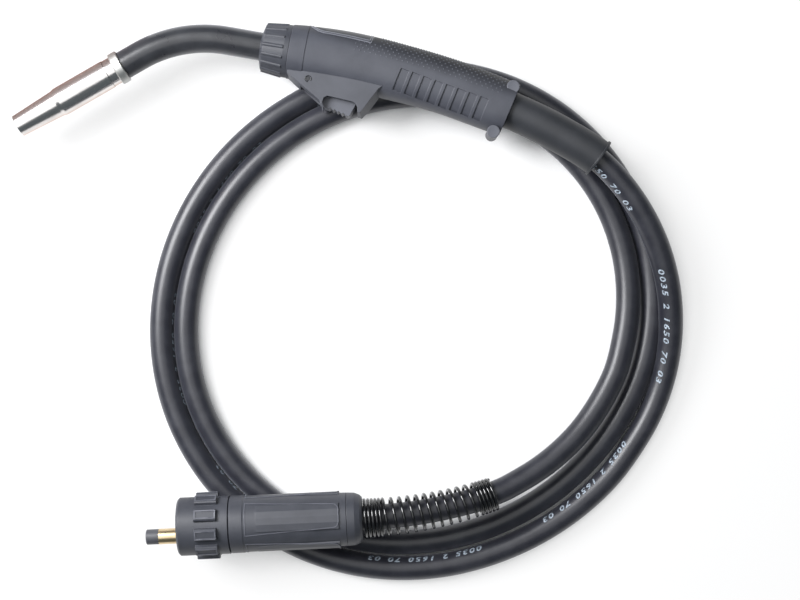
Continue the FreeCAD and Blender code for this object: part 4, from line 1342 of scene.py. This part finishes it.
@dataclass(frozen=True)
class Lamp:
    """One round soft lamp that faces the bench, in metres and watts."""

    name: str
    way: tuple[float, float, float]
    distance: float
    size: float
    power: float
    tone: str

    def hang(self) -> None:
        """Hang the lamp."""
        lamp = bpy.data.lights.new(self.name, "AREA")
        lamp.shape = "DISK"
        lamp.size = self.size
        lamp.energy = self.power
        lamp.color = linear(self.tone)[:3]
        way = Vector(self.way)
        holder = bpy.data.objects.new(self.name, lamp)
        holder.location = bench(0, 0, 0) + way.normalized() * self.distance
        holder.rotation_euler = way.to_track_quat("Z", "Y").to_euler()
        holder.visible_camera = False
        bpy.context.scene.collection.objects.link(holder)


@dataclass
class Studio:
    """Pale floor, soft lights and the camera straight above the bench."""

    floor_size: float = 9.0
    glow: float = 0.8
    # Reach of the occlusion that paints shade into the floor's narrow gaps
    gap_shade_mm: float = 60.0
    lamps: tuple[Lamp, ...] = (
        Lamp("softbox_above", (-0.2, 0.2, 1.0), distance=2.4, size=3.4, power=36.0, tone="#ffffff"),
        Lamp("window_left", (-0.66, 0.3, 0.69), distance=1.3, size=0.7, power=28.0, tone="#fdfdff"))
    room_tone: str = "#c4d2da"
    room_light: float = 0.18
    card_place: tuple[float, float, float] = (48.0, 42.0, 14.0)
    card_lean: float = 50.0
    card_size: tuple[float, float] = (160.0, 130.0)
    camera_height: float = 1296.0
    lens: float = 70.0
    sensor: float = 36.0

    def build_camera(self) -> None:
        """Hang the camera above the middle of the bench."""
        data = bpy.data.cameras.new("above")
        data.lens = self.lens
        data.sensor_width = self.sensor
        data.clip_end = 20.0
        camera = bpy.data.objects.new("above", data)
        camera.location = bench(0, 0, self.camera_height)
        bpy.context.scene.collection.objects.link(camera)
        bpy.context.scene.camera = camera
        bpy.context.scene.view_settings.view_transform = "Standard"

    def build_floor(self) -> None:
        """Lay the floor, white to the eye, with painted shade in the narrow gaps below the part, where its
        glow fades.
        """
        floor = started(bpy.ops.mesh.primitive_grid_add, x_subdivisions=4, y_subdivisions=4,
                        size=self.floor_size, location=bench(0, 0, 0))
        floor.name = "floor"
        canvas = Canvas("matt_paper_sweep", {"Roughness": 0.9, "Base Color": linear("#f2f2f2")})
        rays = canvas.add("LightPath").outputs
        seen = rays["Is Camera Ray"]
        for name in ("Is Glossy Ray", "Is Transmission Ray"):
            seen = canvas.add("Math", {"operation": "MAXIMUM"}, {0: seen, 1: rays[name]}).outputs[0]
        # Painted shade: the floor's glow fades where occlusion is high, so the narrow gaps below the part
        # turn dark
        gaps = canvas.add("AmbientOcclusion", {"samples": 8, "Distance": self.gap_shade_mm * MM})
        unshaded_share = canvas.add("MapRange", {"From Min": 0.4, "From Max": 0.75, "To Max": self.glow},
                          {"Value": gaps.outputs["AO"]})
        share = canvas.add("Math", {"operation": "MULTIPLY"}, {0: seen, 1: unshaded_share.outputs["Result"]})
        glow = canvas.add("Emission", {"Color": linear("#ffffff"), "Strength": 1.0})
        mix = canvas.add("MixShader", links={0: share.outputs[0], 1: canvas.shader.outputs[0],
                                             2: glow.outputs[0]})
        canvas.tree.links.new(mix.outputs[0], canvas.tree.nodes["Material Output"].inputs["Surface"])
        floor.data.materials.append(canvas.material)
        floor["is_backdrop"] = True

    def build_lights(self) -> None:
        """Hang the lamps and set the room's own light."""
        for lamp in self.lamps:
            lamp.hang()
        world = bpy.data.worlds.new("room")
        world.use_nodes = True
        room = world.node_tree.nodes["Background"].inputs
        room["Color"].default_value = linear(self.room_tone)
        room["Strength"].default_value = self.room_light
        bpy.context.scene.world = world

    def build_card(self) -> None:
        """Lean a brown card beside the nozzle, seen only as its reflection in the chrome."""
        card = started(bpy.ops.mesh.primitive_grid_add, x_subdivisions=2, y_subdivisions=2, size=1.0)
        card.name = "brown_card"
        long, wide = (side * MM for side in self.card_size)
        turned = Matrix.Rotation(math.radians(HEAD.turn), 4, "Z")
        leaned = Matrix.Rotation(math.radians(self.card_lean), 4, "X")
        place = Matrix.Translation(HEAD.at(*self.card_place))
        placed(card, place @ turned @ leaned @ Matrix.Diagonal((long, wide, 1.0, 1.0)))
        board = Canvas("brown_board", {"Roughness": 0.9, "Base Color": linear("#a4938f")})
        card.data.materials.append(board.material)
        card.visible_camera = card.visible_diffuse = card.visible_shadow = False
        card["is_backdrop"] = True

    def build(self) -> None:
        """Build the whole studio."""
        self.build_camera()
        self.build_floor()
        self.build_lights()
        self.build_card()
        log.info("studio: %d lamps", len(self.lamps))


@dataclass
class Solids:
    """The carried-over solids and their finishes."""

    finishes: dict[Finish, tuple[str, ...]] = field(default_factory=lambda: {
        Finish.CHROME: ("gas_nozzle", "nozzle_sleeve"),
        Finish.FERRULE: ("neck_ferrule", "cable_crimp_front", "cable_crimp_rear"),
        Finish.COPPER: ("contact_tip",),
        Finish.HEAD_BRASS: ("tip_holder",),
        Finish.NECK_BRASS: ("neck_tube", "neck_block"),
        Finish.CERAMIC: ("gas_diffuser",),
        Finish.BLACK: ("nozzle_insulator", "screw_caps", "switch_body", "switch_plunger", "plug_face",
                       "switch_leads", "cable_conduit", "trigger_pin"),
        Finish.NECK: ("neck_cover",),
        Finish.PIN_CAP: ("pin_cap",),
        Finish.HANDLE: ("handle_shell_top", "handle_shell_bottom"),
        Finish.NUT: ("ring_nut",),
        Finish.INLAY: ("handle_inlay",),
        Finish.STEEL: ("handle_screws",),
        Finish.GUARD: ("trigger_housing",),
        Finish.LEVER: ("trigger_lever",),
        Finish.BOOT: ("cable_boot", "pin_o_ring"),
        Finish.PLUG: ("plug_housing", "plug_rear_cap", "lock_nut"),
        Finish.PIN_BRASS: ("plug_pin", "contact_pin_a", "contact_pin_b", "contact_barrel_a",
                           "contact_barrel_b", "plug_body"),
    })

    def dress(self) -> None:
        """Give each solid its finish in all of its slots."""
        for finish, nodes in self.finishes.items():
            for node in nodes:
                for place in frame["nodes"][node].material_slots:
                    place.link = "OBJECT"
                    place.material = finish_of(finish)
                log.info("%s: %s", node, finish.value.name)


def write_sizes(low_high: tuple, name: str, sizes: dict[str, list]) -> None:
    """Keep a box, given by its lowest and highest corner, under a name."""
    sizes[name] = [list(map(float, corner)) for corner in low_high]


def main() -> None:
    """Build the dressed part and its studio."""
    logging.basicConfig(level=logging.INFO, format="%(message)s")
    sizes: dict[str, list] = {}
    write_sizes(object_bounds(), "cad", sizes)
    Studio().build()
    Solids().dress()
    cable = Cable()
    sheath = cable.build()
    spring = BendSpring().build()
    marks = CablePrint().build(cable)
    raised = [PlugBeads().build(), NutFrames().build()]
    line = HandleLine()
    HandleBeads().build(line)
    GripDots().build(line)
    BossCaps().build()
    PivotRing().build()
    write_sizes(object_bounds(), "visual", sizes)


if __name__ == "__main__":
    main()
